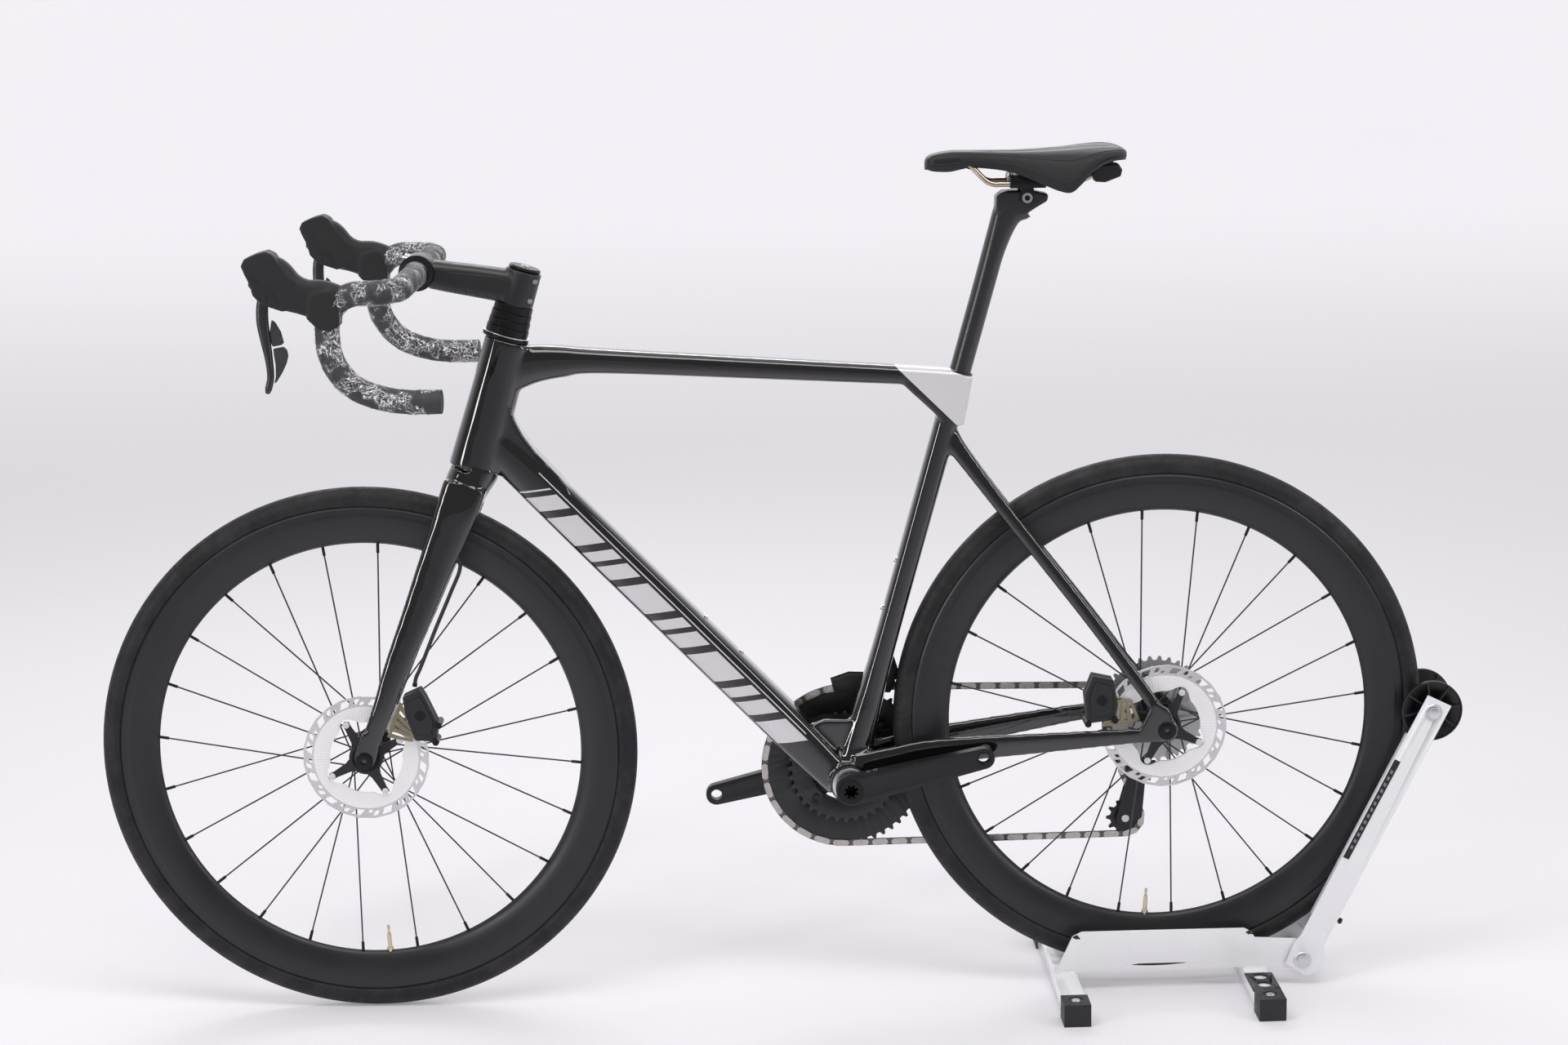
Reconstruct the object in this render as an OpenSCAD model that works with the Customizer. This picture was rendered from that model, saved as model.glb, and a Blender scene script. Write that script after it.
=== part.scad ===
// A road bicycle with disc brakes, its rear wheel held in a spring-arm display stand.
// Origin: on the floor, in the bicycle's mid-plane, straight below the bottom bracket.
// +X points forward, +Y to the rider's left, +Z up. Every size is in millimetres.

/* [Bicycle] */
// Distance between the two axles, along the floor
wheelbase = 1006.5; // [1000:0.5:1015]
// Distance of the rear axle behind the bottom bracket
rear_reach = 398.5; // [396:0.5:401]
// Height of the bottom bracket's axis
bb_height = 288; // [286:1:290]
// Angle of the steering axis from the floor
head_angle = 73.3; // [73:0.1:73.6]
// Distance of the front axle ahead of the steering axis
fork_offset = 31; // [29:1:33]
// Angle of the front wheel at rest, positive to the left
rest_steer = -3.2; // [-4:0.1:0]
// Angle of the seat tube from the floor
seat_angle = 74.4; // [74:0.1:74.8]

/* [Wheels] */
// Outer radius of a tyre
tyre_r = 340; // [338:0.5:342]
// Width of a tyre
tyre_w = 30; // [28:0.5:30.5]
// Radius of a rim at its inner edge, next to the spokes
rim_inner_r = 268; // [264:1:272]
// Number of spokes in each wheel
spoke_count = 24; // [20:4:28]
// Radius of a brake rotor
rotor_r = 80; // [78:1:80]

/* [Drivetrain] */
// Teeth on the large chainring
ring_teeth = 52; // [50:1:52]
// Teeth on the small chainring
small_ring_teeth = 36; // [34:1:38]
// Length of a crank, from the spindle to the pedal thread
crank_length = 172.5; // [165:2.5:175]
// Angle of the left crank from forward, turning up
crank_angle = 166.5; // [150:0.5:180]
// Distance of the large chainring from the mid-plane
chainline = 47.5; // [47:0.1:48]

/* [Cockpit] */
// Distance from the mid-plane to the middle of each brake hood
hood_spread = 211; // [205:1:215]
// Radius of the wrapped handlebar
grip_r = 15; // [14.5:0.1:15.5]
// Length of the seatpost above its collar
post_out = 200; // [190:1:205]

/* [Stand] */
// Height of the rear tyre above the floor
stand_lift = 19.5; // [18:0.5:21]
// Length of each cross tube, over its rubber feet
foot_span = 324; // [300:2:340]
// Distance of the side plates' outer faces from the mid-plane
plate_y = 36; // [36:0.5:37]
// Radius of the wheel roller
roller_r = 39; // [36:1:40]

/* [Hidden] */
$fn = 48;

rear = [-rear_reach, 0, tyre_r + stand_lift];
front = [wheelbase - rear_reach, 0, tyre_r];
bb = [0, 0, bb_height];

// Steering axis: a point level with the front axle, and its upward direction
steer_up = [-cos(head_angle), 0, sin(head_angle)];
steer_foot = front - fork_offset * [sin(head_angle), 0, cos(head_angle)];
steer_tilt = head_angle - 90;

// Seat tube: upward direction, and the forward normal
seat_up = [-cos(seat_angle), 0, sin(seat_angle)];
seat_front = [sin(seat_angle), 0, cos(seat_angle)];
seat_tilt = seat_angle - 90;
seat_tube_len = 542;
collar = bb + seat_tube_len * seat_up;
post_r = 13.6;

// Down tube, from the bottom bracket to the head tube
down_low = [6, 0, bb_height - 5];
down_high = [437, 0, 736];
down_dir = (down_high - down_low) / norm(down_high - down_low);
down_tilt = atan2(down_dir[0], down_dir[2]);
down_normal = [-down_dir[2], 0, down_dir[0]];

// Hubs and axles
axle_r = 6;
running = 0.06;
front_drop_y = 50;
rear_drop_y = 71;
front_rotor_y = 38.7;
rear_rotor_y = 55.5;
rotor_t = 1.8;
front_valve_angle = 266.8;
rear_valve_angle = 272.9;

// Rim and tyre profiles
tyre_mid_r = tyre_r - tyre_w / 2;
bead_r = tyre_r - 24;
rim_bed_r = bead_r - 4;
rim_half_w = 13.8;
rim_wall = 2;

// Chain drive: pitch circles of the ring, the smallest cog and the two derailleur pulleys
pitch = 12.7;
cog_teeth = [11, 12, 13, 14, 15, 17, 19, 21, 24, 27, 30, 34];
cog_step = 3.56;
cog_y0 = -62.7;
pulley_teeth = 11;
function pitch_r(teeth) = pitch / (2 * sin(180 / teeth));
ring_y = -chainline;
small_ring_y = ring_y + 7;
guide_pulley = rear + [14, 0, -89];
tension_pulley = rear + [31, 0, -157];
chain_half_h = 4.2;
chain_gap = 1.25;
chain_out = 2.45;

// Brake lever pivot and hood, before the bar is turned
lever_pivot = [676, hood_spread, 946];
lever_pin_r = 2.5;
bar_mid = [524, 0, 949];

// Stand arm, its bolts and the wheel roller on it
arm_pivot = [-585, 0, 35];
roller_axle = [-747, 0, 363];
arm_y = 37.5;
arm_t = 2.5;
bolt_r = 5;

// ---- helpers ----

// A point on the steering axis, s above the level of the front axle
function on_steerer(s) = steer_foot + s * steer_up;
// A point in the seat tube's own directions: up its axis, and forward of it
function on_seat_tube(up, ahead = 0) = bb + up * seat_up + ahead * seat_front;
function on_down_tube(up, above = 0) = down_low + up * down_dir + above * down_normal;
function polar(c, r, a, y = 0) = [c[0] + r * cos(a), y, c[2] + r * sin(a)];
function at_y(p, y) = [p[0], y, p[2]];

// Turns what belongs to the fork and the handlebar to its angle at rest
module steered() {
    translate(steer_foot) rotate(a = rest_steer, v = steer_up) translate(-steer_foot) children();
}

// A cylinder across the bicycle, from y0 to y1
module across(c, y0, y1, r) {
    translate([c[0], y1, c[2]]) rotate([90, 0, 0]) cylinder(h = y1 - y0, r = r);
}

// A ring across the bicycle
module ring(c, y0, y1, r_out, r_in) {
    difference() {
        across(c, y0, y1, r_out);
        across(c, y0 - 1, y1 + 1, r_in);
    }
}

// A flat plate standing in the bicycle's plane, from an outline of [x, z] points
module plate(points, y0, y1) {
    translate([0, y1, 0]) rotate([90, 0, 0]) linear_extrude(y1 - y0) polygon(points);
}

// A turned shape about an axle: its outline is drawn with the radius across and y up the page
module turned(c) {
    translate([c[0], 0, c[2]]) rotate([-90, 0, 0]) rotate_extrude() children();
}

module rod(a, b, r) {
    d = b - a;
    translate(a) rotate([0, acos(d[2] / norm(d)), atan2(d[1], d[0])]) cylinder(h = norm(d), r = r);
}

// A thin oval slice for a tube's hull: tilt leans its axis forward from upright, yaw turns it
module slice(p, tilt, deep, wide, yaw = 0) {
    translate(p) rotate([0, tilt, yaw]) scale([deep / 2, wide / 2, 1])
        cylinder(r = 1, h = 1, center = true, $fn = 32);
}

// A hexagon head on a bolt that lies across the bicycle
module hex_head(c, y0, y1, r) {
    translate([c[0], y1, c[2]]) rotate([90, 0, 0]) cylinder(h = y1 - y0, r = r, $fn = 6);
}

// Angle at which a line leaves one circle for the next; a turn of 1 runs up its front side, -1 down it
function belt_angle(c0, r0, turn0, c1, r1, turn1) =
    atan2(c1[2] - c0[2], c1[0] - c0[0]) + asin((turn0 * r0 - turn1 * r1) / norm(c1 - c0));

// ---- display stand ----

module stand_side_plates() {
    outline = [[-298, 80], [-509, 79], [-519, 74], [-523, 66], [-590, 62], [-602, 50], [-602, 26],
        [-590, 22], [-516, 25], [-474, 27], [-431, 35], [-372, 35], [-325, 28], [-293, 25],
        [-264, 25], [-286, 74]];
    color("white") for (side = [-1, 1]) {
        y0 = side > 0 ? plate_y - 3 : -plate_y;
        difference() {
            plate(outline, y0, y0 + 3);
            across(arm_pivot, y0 - 1, y0 + 4, bolt_r + running);
            for (x = [-291, -516]) across([x, 0, 73], y0 - 1, y0 + 4, 3);
        }
    }
}

module stand_cross_tubes() {
    tube_h = 22;
    color("white") for (x = [-276, -523]) {
        difference() {
            translate([x - 15, -foot_span / 2 + 3, 3]) cube([30, foot_span - 6, tube_h]);
            translate([x - 13, -foot_span / 2, 5]) cube([26, foot_span, tube_h - 4]);
        }
        // Raised rest that the tyre sits on, welded between the side plates
        translate([x - 15, 3 - plate_y, 3 + tube_h]) cube([30, 2 * plate_y - 6, 11]);
    }
}

module stand_feet() {
    color("dimgray") for (x = [-276, -523], side = [-1, 1]) difference() {
        translate([x - 17, side > 0 ? foot_span / 2 - 37 : -foot_span / 2, 0]) cube([34, 37, 29]);
        translate([x - 15, side > 0 ? foot_span / 2 - 38 : -foot_span / 2 + 3, 3]) cube([30, 35, 22]);
        translate([x, side * (foot_span / 2 - 20), 28]) cylinder(r = 9, h = 3);
    }
}

// Plastic clip cover over the near end of the rear cross tube, with two finger holes
module foot_cover() {
    color("dimgray") difference() {
        translate([-541, 62, 25]) cube([36, 62, 3]);
        for (y = [76, 104]) translate([-523, y, 24]) cylinder(r = 9, h = 5);
    }
}

// The arm is a pair of folded rails round the tyre, joined by a bridge behind it near the foot
module arm() {
    lean = roller_axle - arm_pivot;
    rise = norm(lean);
    color("white") for (side = [-1, 1]) {
        y0 = side > 0 ? arm_y : -arm_y - arm_t;
        translate([0, y0 + arm_t, 0]) rotate([90, 0, 0]) linear_extrude(arm_t) difference() {
            translate([arm_pivot[0], arm_pivot[2]]) rotate(atan2(lean[2], lean[0]) - 90)
                polygon([[-14, -18], [18, -14], [20, 16], [17, 30], [17, rise + 17], [-17, rise + 17],
                    [-17, 30], [-28, 10], [-24, -8]]);
            for (c = [arm_pivot, roller_axle]) translate([c[0], c[2]]) circle(r = bolt_r + 0.02);
        }
        // Folded lip along the front edge
        lip_y = side > 0 ? arm_y - 9 : -arm_y - 1;
        translate(arm_pivot) rotate([0, 90 - atan2(lean[2], lean[0]), 0])
            translate([14.5, lip_y, 60]) cube([arm_t, 10, rise - 100]);
    }
    color("white") translate(arm_pivot) rotate([0, 90 - atan2(lean[2], lean[0]), 0])
        translate([-17, -arm_y - 1, 22]) cube([arm_t, 2 * arm_y + 2, 48]);
}

// The pivot bolt and the roller's axle bolt, each with a hexagon head and a nut
module arm_bolts() {
    end_y = arm_y + arm_t;
    color("silver") for (c = [arm_pivot, roller_axle]) {
        across(c, -end_y - 1, end_y + 1, bolt_r);
        hex_head(c, end_y, end_y + 4, 8);
        hex_head(c, -end_y - 4, -end_y, 8);
    }
}

// Coil spring round the pivot bolt, drawn as closed coils
module arm_spring() {
    wire_r = 1.4;
    color("silver") for (i = [-6:6]) turned(arm_pivot)
        translate([9, i * 3.2]) circle(r = wire_r);
}

// One half of the roller: stepped rings widen outward, and ribs stiffen the open outer face
module roller(side) {
    steps = [[0.3, 7.5], [6, 9.3], [9, 10.8], [11.5, 13], [14, 17.3], [16.5, 24], [20, 29],
        [24, 33.5], [28, roller_r], [33, roller_r]];
    edge = [for (i = [0:len(steps) - 2]) each [[steps[i][1], steps[i][0]], [steps[i][1], steps[i + 1][0]]]];
    color("dimgray") mirror([0, side > 0 ? 0 : 1, 0]) difference() {
        union() {
            turned(roller_axle) polygon(concat(edge, [[roller_r - 2, 33], [roller_r - 2.5, 30],
                [27, 26], [20, 22], [10, 22], [10, 33], [bolt_r + running, 33],
                [bolt_r + running, 0.3]]));
            for (i = [0:7]) translate(roller_axle) rotate([0, i * 45 + 10, 0])
                translate([9, 22, -1]) cube([roller_r - 10.5, 10, 2]);
        }
        across(roller_axle, 0, 34, bolt_r + running);
    }
}
module roller_left() roller(1);
module roller_right() roller(-1);

// ---- frame ----

module head_tube() {
    color("black") difference() {
        hull() {
            slice(on_steerer(386) - [4, 0, 0], steer_tilt, 66, 57);
            slice(on_steerer(420) - [5, 0, 0], steer_tilt, 64, 54);
            slice(on_steerer(556) - [4, 0, 0], steer_tilt, 62, 50);
        }
        translate(on_steerer(380)) rotate([0, steer_tilt, 0]) cylinder(r = 26, h = 18);
        translate(on_steerer(390)) rotate([0, steer_tilt, 0]) cylinder(r = 20.5, h = 160);
        translate(on_steerer(545)) rotate([0, steer_tilt, 0]) cylinder(r = 21, h = 20);
        // Room for the steerer's cover and the crown
        translate(on_steerer(556.2)) rotate([0, steer_tilt, 0])
            translate([-60, -60, 0]) cube([120, 120, 20]);
        translate(on_steerer(385.8)) rotate([0, steer_tilt, 0])
            translate([-60, -60, -20]) cube([120, 120, 20]);
    }
}

module top_tube() {
    color("black") difference() {
        union() {
            hull() {
                slice([392, 0, 838], 86, 46, 36);
                slice([300, 0, 834], 86, 31, 38);
            }
            hull() {
                slice([300, 0, 834], 86, 31, 38);
                slice([-150, 0, 803], 86, 23, 34);
            }
        }
        translate(on_steerer(380)) rotate([0, steer_tilt, 0]) cylinder(r = 26, h = 190);
        // Room for the oval bearing cover to turn
        translate(on_steerer(556)) rotate([0, steer_tilt, 0]) cylinder(r = 33, h = 20);
        translate(on_seat_tube(300)) rotate([0, seat_tilt, 0]) cylinder(r = post_r + 0.05, h = 400);
    }
}

module down_tube() {
    color("black") difference() {
        hull() {
            slice(down_low, down_tilt, 50, 60);
            slice(on_down_tube(330), down_tilt, 53, 48);
            slice(down_high - 12 * down_dir, down_tilt, 53, 46);
        }
        translate(on_steerer(380)) rotate([0, steer_tilt, 0]) cylinder(r = 26, h = 190);
        across(bb, -50, 50, 21);
        for (s = [214.5, 278.5]) translate(on_down_tube(s, 12)) rotate([0, down_tilt - 90, 0])
            cylinder(r = 4.5, h = 40);
    }
}

module seat_tube() {
    color("black") difference() {
        union() {
            hull() {
                slice(on_seat_tube(12), seat_tilt, 46, 52);
                slice(on_seat_tube(170), seat_tilt, 29, 36);
            }
            hull() {
                slice(on_seat_tube(170), seat_tilt, 29, 36);
                slice(collar + 4 * seat_up, seat_tilt, 31, 34);
            }
            // Gusset under the top tube
            plate([[-74, 797], [-117, 752], [-150, 762], [-160, 806], [-120, 812]], -13, 13);
        }
        translate(on_seat_tube(330)) rotate([0, seat_tilt, 0]) cylinder(r = post_r + 0.05, h = 260);
        translate(collar) rotate([0, seat_tilt, 0]) translate([-60, -60, 0]) cube([120, 120, 60]);
        across(bb, -50, 50, 21);
        for (s = [226.8, 290.8]) translate(on_seat_tube(s, 4)) rotate([0, seat_tilt + 90, 0])
            cylinder(r = 4.5, h = 30);
    }
}

module bottom_bracket_shell() {
    color("black") ring(bb, -34, 34, 25, 21);
}

// Bearings pressed into the frame: one pair at the bottom bracket and one pair in the head tube
module frame_bearings() {
    color("silver") {
        for (y = [-43, 34]) ring(bb, y, y + 9, 22, 12 + running);
        for (b = [[386.5, 11, 25.9, 19], [545.2, 10.8, 20.9, 14.3]])
            translate(on_steerer(b[0])) rotate([0, steer_tilt, 0]) difference() {
                cylinder(h = b[1], r = b[2]);
                translate([0, 0, -1]) cylinder(h = b[1] + 2, r = b[3] + running);
            }
    }
}

module seat_stays() {
    color("black") for (side = [-1, 1]) difference() {
        union() {
            hull() {
                slice([-140, side * 13, 716], -38, 20, 14);
                slice([-300, side * 47, 506], -38, 18, 12);
            }
            hull() {
                slice([-300, side * 47, 506], -38, 18, 12);
                slice([-388, side * 75, 383], -36, 17, 8);
            }
        }
        translate(on_seat_tube(330)) rotate([0, seat_tilt, 0]) cylinder(r = post_r + 0.05, h = 260);
    }
}

// Chain stays with the dropout plates that hold the rear axle
module chain_stays() {
    color("black") for (side = [-1, 1]) {
        y0 = side > 0 ? rear_drop_y : -rear_drop_y - 8;
        hull() {
            slice([-18, side * 25, 306], 80, 38, 15);
            slice([-110, side * 29.5, 326], 83, 34, 12);
        }
        hull() {
            slice([-110, side * 29.5, 326], 83, 34, 12);
            slice([-372, side * 75, 353], 84, 18, 8);
        }
        difference() {
            translate([0, y0 + 8, 0]) rotate([90, 0, 0]) linear_extrude(8) union() {
                translate([rear[0], rear[2]]) circle(r = 15);
                polygon([[-366, 344], [-366, 362], [-386, 398], [-401, 386], [-412, 358],
                    [-404, 346], [-392, 345]]);
                if (side < 0) polygon([[-404, 352], [-390, 350], [-384, 330], [-392, 324], [-402, 330]]);
            }
            across(rear, y0 - 1, y0 + 9, axle_r + 0.02);
        }
    }
}

// Through axle with its flanged head on the left
module rear_axle() {
    color("dimgray") difference() {
        union() {
            across(rear, -rear_drop_y - 9, rear_drop_y + 8, axle_r);
            across(rear, rear_drop_y + 8, rear_drop_y + 10, 9);
        }
        translate([rear[0], rear_drop_y + 12, rear[2]]) rotate([90, 0, 0]) cylinder(r = 3.4, h = 8, $fn = 6);
    }
}

// Threaded inserts for two bottle cages
module bottle_bosses() {
    color("silver") {
        for (s = [214.5, 278.5]) translate(on_down_tube(s, 13)) rotate([0, down_tilt - 90, 0])
            difference() {
                cylinder(r = 4.45, h = 15);
                translate([0, 0, 3]) cylinder(r = 2.5, h = 20);
            }
        for (s = [226.8, 290.8]) translate(on_seat_tube(s, 5)) rotate([0, seat_tilt + 90, 0])
            difference() {
                cylinder(r = 4.45, h = 12);
                translate([0, 0, 2]) cylinder(r = 2.5, h = 20);
            }
    }
}

// ---- brakes ----

// A flat-mount caliper over the rotor's edge, with a finned pad plate on its inner side
module caliper(c, y, outline, fins) {
    color("dimgray") difference() {
        union() {
            plate(outline, y - 11, y + 12);
            for (i = [0, 1]) across([outline[i][0], 0, outline[i][1]], y - 13, y + 14, 5);
        }
        across(c, y - 1.5, y + 1.5, rotor_r + 1.5);
    }
    // Brake pads, one either side of the rotor
    color("gray") for (side = [-1, 1]) intersection() {
        y0 = side > 0 ? y + rotor_t / 2 + 0.3 : y - 1.5;
        plate(outline, y0, y0 + 0.3);
        across(c, y - 2, y + 2, rotor_r);
    }
    // Cooling plate with its fins, outboard of the rotor's spider
    color("darkkhaki") {
        plate(fins, y + 5.6, y + 6.8);
        for (t = [0.2:0.2:0.8]) {
            a = fins[0] + t * (fins[1] - fins[0]);
            b = fins[3] + t * (fins[2] - fins[3]);
            rod([a[0], y + 7, a[1]], [b[0], y + 7, b[1]], 1);
        }
    }
}

// Braking ring with slots, a finned aluminium carrier and a four-armed spider on the hub
module rotor(c, y, phase) {
    color("silver") difference() {
        across(c, y - rotor_t / 2, y + rotor_t / 2, rotor_r);
        across(c, y - 2, y + 2, 66);
        for (i = [0:29], j = [0, 1])
            across(polar(c, 70 + 5.5 * j, phase + i * 12 + 6 * j), y - 2, y + 2, 1.6);
    }
    color("whitesmoke") difference() {
        across(c, y - 1.1, y + 1.1, 66);
        across(c, y - 2, y + 2, 43);
        for (i = [0:3]) across(polar(c, 44, phase + 45 + i * 90), y - 2, y + 2, 12);
    }
    color("black") difference() {
        union() {
            across(c, y + 1.1, y + 4.4, 21);
            for (i = [0:3]) {
                a = phase + i * 90;
                rod_end = polar(c, 49, a);
                plate([for (p = [[10, -9], [46, -5], [52, -3], [52, 3], [46, 5], [10, 9]])
                    [c[0] + p[0] * cos(a) - p[1] * sin(a), c[2] + p[0] * sin(a) + p[1] * cos(a)]],
                    y + 1.1, y + 4.4);
                across(rod_end, y + 1.1, y + 5, 4.5);
            }
        }
        across(c, y, y + 6, 17.5);
    }
}

// ---- wheels ----

module tyre(c) {
    color("black") turned(c) difference() {
        translate([tyre_mid_r, 0]) circle(r = tyre_w / 2);
        translate([tyre_mid_r, 0]) circle(r = tyre_w / 2 - 2.6);
        translate([0, -20]) square([rim_bed_r + 0.3, 40]);
        for (side = [0, 1]) mirror([0, side]) translate([0, 10.7]) square([bead_r + 0.3, 10]);
    }
}

// Outline of half a rim: its width falls from the bead to a round inner edge
rim_steps = 14;
function rim_half(r, inner_r, w) = w * pow(1 - pow(1 - (r - inner_r) / (bead_r - inner_r), 2.4), 0.62);
function rim_outline(r0, r1, w) = [for (i = [0:rim_steps]) let (r = r0 + (r1 - r0) * i / rim_steps)
    [r, rim_half(r, r0, w)]];
function mirrored(points) = [for (i = [len(points) - 1:-1:1]) [points[i][0], -points[i][1]]];

module rim(c, valve_angle) {
    outer = rim_outline(rim_inner_r, bead_r, rim_half_w);
    inner = rim_outline(rim_inner_r + rim_wall, rim_bed_r - rim_wall, rim_half_w - rim_wall);
    color("#222222") difference() {
        turned(c) difference() {
            polygon(concat(outer, mirrored(outer)));
            polygon(concat(inner, mirrored(inner)));
            translate([rim_bed_r, -10.9]) square([10, 21.8]);
        }
        rod(polar(c, rim_inner_r - 3, valve_angle), polar(c, rim_bed_r + 3, valve_angle), 3.3);
    }
}

module spokes(c, valve_angle, flange_l, flange_r, flange_rad) {
    half = spoke_count / 2;
    color("black") for (i = [0:half - 1], side = [-1, 1]) {
        step = 360 / half;
        rim_a = valve_angle + step / 4 + i * step + (side > 0 ? 0 : step / 2);
        lean = i % 2 == 0 ? 62 : -62;
        flange_y = (side > 0 ? flange_l : -flange_r) + (i % 2 == 0 ? 1.1 : -1.1);
        rod(polar(c, flange_rad, rim_a + lean, flange_y),
            polar(c, rim_inner_r + 1.5, rim_a, side * 1.5), 0.9);
    }
}

// Hub shell with its bearings' seats; the left end carries the rotor
module hub(c, left, right, flange_l, flange_r, flange_rad, rotor_y, body_r) {
    color("black") difference() {
        union() {
            across(c, -right, left, 9.5);
            across(c, -flange_r - 2, rotor_y + 4.6, body_r);
            across(c, rotor_y - 3, rotor_y + 5.5, 17.4);
            across(c, flange_l - 2, flange_l + 2, flange_rad + 2);
            across(c, -flange_r - 2, -flange_r + 2, flange_rad + 2);
        }
        across(c, -80, 80, axle_r + running);
        for (y = [-flange_r - 1, rotor_y - 6]) across(c, y, y + 6, 10);
    }
    color("silver") for (y = [-flange_r - 1, rotor_y - 6]) ring(c, y, y + 6, 10, axle_r + running);
}

module valve(c, a) {
    color("goldenrod") {
        rod(polar(c, rim_inner_r - 22, a), polar(c, rim_bed_r + 0.1, a), 3);
        rod(polar(c, rim_inner_r - 34, a), polar(c, rim_inner_r - 22, a), 1.9);
    }
}

module front_tyre() steered() tyre(front);
module front_rim() steered() rim(front, front_valve_angle);
module front_spokes() steered() spokes(front, front_valve_angle, 27, 36, 19);
module front_hub() steered() hub(front, 49.7, 49.7, 27, 36, 19, front_rotor_y, 13);
module front_rotor() steered() rotor(front, front_rotor_y, 62);
module front_valve() steered() valve(front, front_valve_angle);
module rear_tyre() tyre(rear);
module rear_rim() rim(rear, rear_valve_angle);
module rear_spokes() spokes(rear, rear_valve_angle, 32, 16, 21);
module rear_hub() hub(rear, 70.7, 19.5, 32, 16, 21, rear_rotor_y, 14);
module rear_rotor() rotor(rear, rear_rotor_y, 26);
module rear_valve() valve(rear, rear_valve_angle);

// ---- drivetrain ----

// Outline of a toothed wheel: four points to each tooth
function teeth_outline(teeth) = [for (i = [0:teeth - 1], p =
    [[-0.3, -3.2], [-0.11, 2.1], [0.11, 2.1], [0.3, -3.2]])
    let (a = (i + p[0]) * 360 / teeth, r = pitch_r(teeth) + p[1]) [r * cos(a), r * sin(a)]];

module toothed(c, y, t, teeth, hole_r) {
    translate([c[0], y + t / 2, c[2]]) rotate([90, 0, 0]) linear_extrude(t) difference() {
        polygon(teeth_outline(teeth));
        circle(r = hole_r);
    }
}

module cassette() {
    color("silver") difference() {
        union() {
            for (k = [0:len(cog_teeth) - 1]) toothed(rear, cog_y0 + k * cog_step, 1.6, cog_teeth[k], 12);
            across(rear, cog_y0 - 3.5, -20, 17);
            across(rear, -rear_drop_y + 0.3, -20, 9.5);
        }
        across(rear, -80, -10, axle_r + running);
    }
}

bolt_circle_r = 55;
bolt_angles = [32, 148, 212, 328];

module chainrings() {
    color("dimgray") difference() {
        union() {
            toothed(bb, ring_y, 1.9, ring_teeth, 46);
            toothed(bb, small_ring_y, 1.9, small_ring_teeth, 46);
        }
        for (a = bolt_angles) across(polar(bb, bolt_circle_r, crank_angle + a), -60, -30, 4.3);
    }
}

// Right crank with its spider, ring bolts and the spindle that runs through the frame
module crank_right() {
    pedal = polar(bb, crank_length, crank_angle + 180);
    color("black") difference() {
        union() {
            hull() {
                across(bb, -69, -56, 19);
                across(pedal, -75.5, -63, 13.5);
            }
            across(bb, -58, -43.4, 19.5);
            for (a = bolt_angles) {
                tip = polar(bb, bolt_circle_r, crank_angle + a);
                hull() {
                    across(polar(bb, 20, crank_angle + a), -57, -49, 11);
                    across(tip, -53.5, -49, 8);
                }
                across(tip, -54.2, small_ring_y + 1.5, 4.2);
            }
            across(bb, -50, 69.2, 12);
        }
        across(pedal, -80, -60, 7.14);
        across(bb, -80, 80, 9);
    }
}

module crank_left() {
    pedal = polar(bb, crank_length, crank_angle);
    color("black") difference() {
        union() {
            hull() {
                across(bb, 55, 69, 19);
                across(pedal, 63, 75.5, 13.5);
            }
            across(bb, 43.4, 56, 17);
        }
        across(pedal, 60, 80, 7.14);
        across(bb, 40, 80, 12.02);
    }
}

// Chain route: off the large ring's top, round the smallest cog, through the pulleys and back
cog_r = pitch_r(cog_teeth[0]);
pulley_r = pitch_r(pulley_teeth);
big_r = pitch_r(ring_teeth);
// Each wheel of the route: centre, pitch radius, turn, and distance from the mid-plane
route = [
    [bb, big_r, 1, ring_y],
    [rear, cog_r, 1, cog_y0],
    [guide_pulley, pulley_r, -1, cog_y0],
    [tension_pulley, pulley_r, 1, cog_y0]
];
function leave(i) = let (a = route[i], b = route[(i + 1) % 4])
    belt_angle(a[0], a[1], a[2], b[0], b[1], b[2]);
function on_wheel(i, angle) = at_y(polar(route[i][0], route[i][1], angle - route[i][2] * 90), route[i][3]);

// One side band of the chain round a wheel, between the angles where it arrives and leaves
module wrap(i, y0, y1) {
    turn = route[i][2];
    from = leave((i + 3) % 4) - turn * 90;
    to = leave(i) - turn * 90;
    start = turn > 0 ? from : to;
    sweep = ((turn > 0 ? to - from : from - to) % 360 + 360) % 360;
    r = route[i][1];
    c = route[i][0];
    translate([c[0], 0, c[2]]) rotate([90, 0, 0]) rotate([0, 0, start]) rotate_extrude(angle = sweep)
        translate([r - chain_half_h, -y1]) square([2 * chain_half_h, y1 - y0]);
}

// Side plates of the chain as two bands, tied by pins on the two long runs
// One straight run: level with each wheel near it, and slanting from one to the other between
module run(i) {
    a = on_wheel(i, leave(i));
    b = on_wheel((i + 1) % 4, leave(i));
    reach = norm([b[0] - a[0], b[2] - a[2]]);
    shift = b[1] - a[1];
    lead = 38;
    translate(a) rotate([0, -leave(i), 0]) {
        for (y = [0.1 - chain_out, chain_gap + 0.1]) {
            line = shift == 0 ? [[-1, y], [reach + 1, y]]
                : [[-1, y], [lead, y], [reach - lead, y + shift], [reach + 1, y + shift]];
            width = [0, chain_out - chain_gap - 0.2];
            translate([0, 0, 0.2 - chain_half_h]) linear_extrude(2 * chain_half_h - 0.4)
                polygon(concat(line, [for (k = [len(line) - 1:-1:0]) line[k] + width]));
        }
        if (shift != 0) for (t = [0.12:0.04:0.88]) {
            y = shift * (t * reach - lead) / (reach - 2 * lead);
            across([t * reach, 0, 0], y - chain_out + 0.4, y + chain_out - 0.4, 2.2);
        }
    }
}

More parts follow.
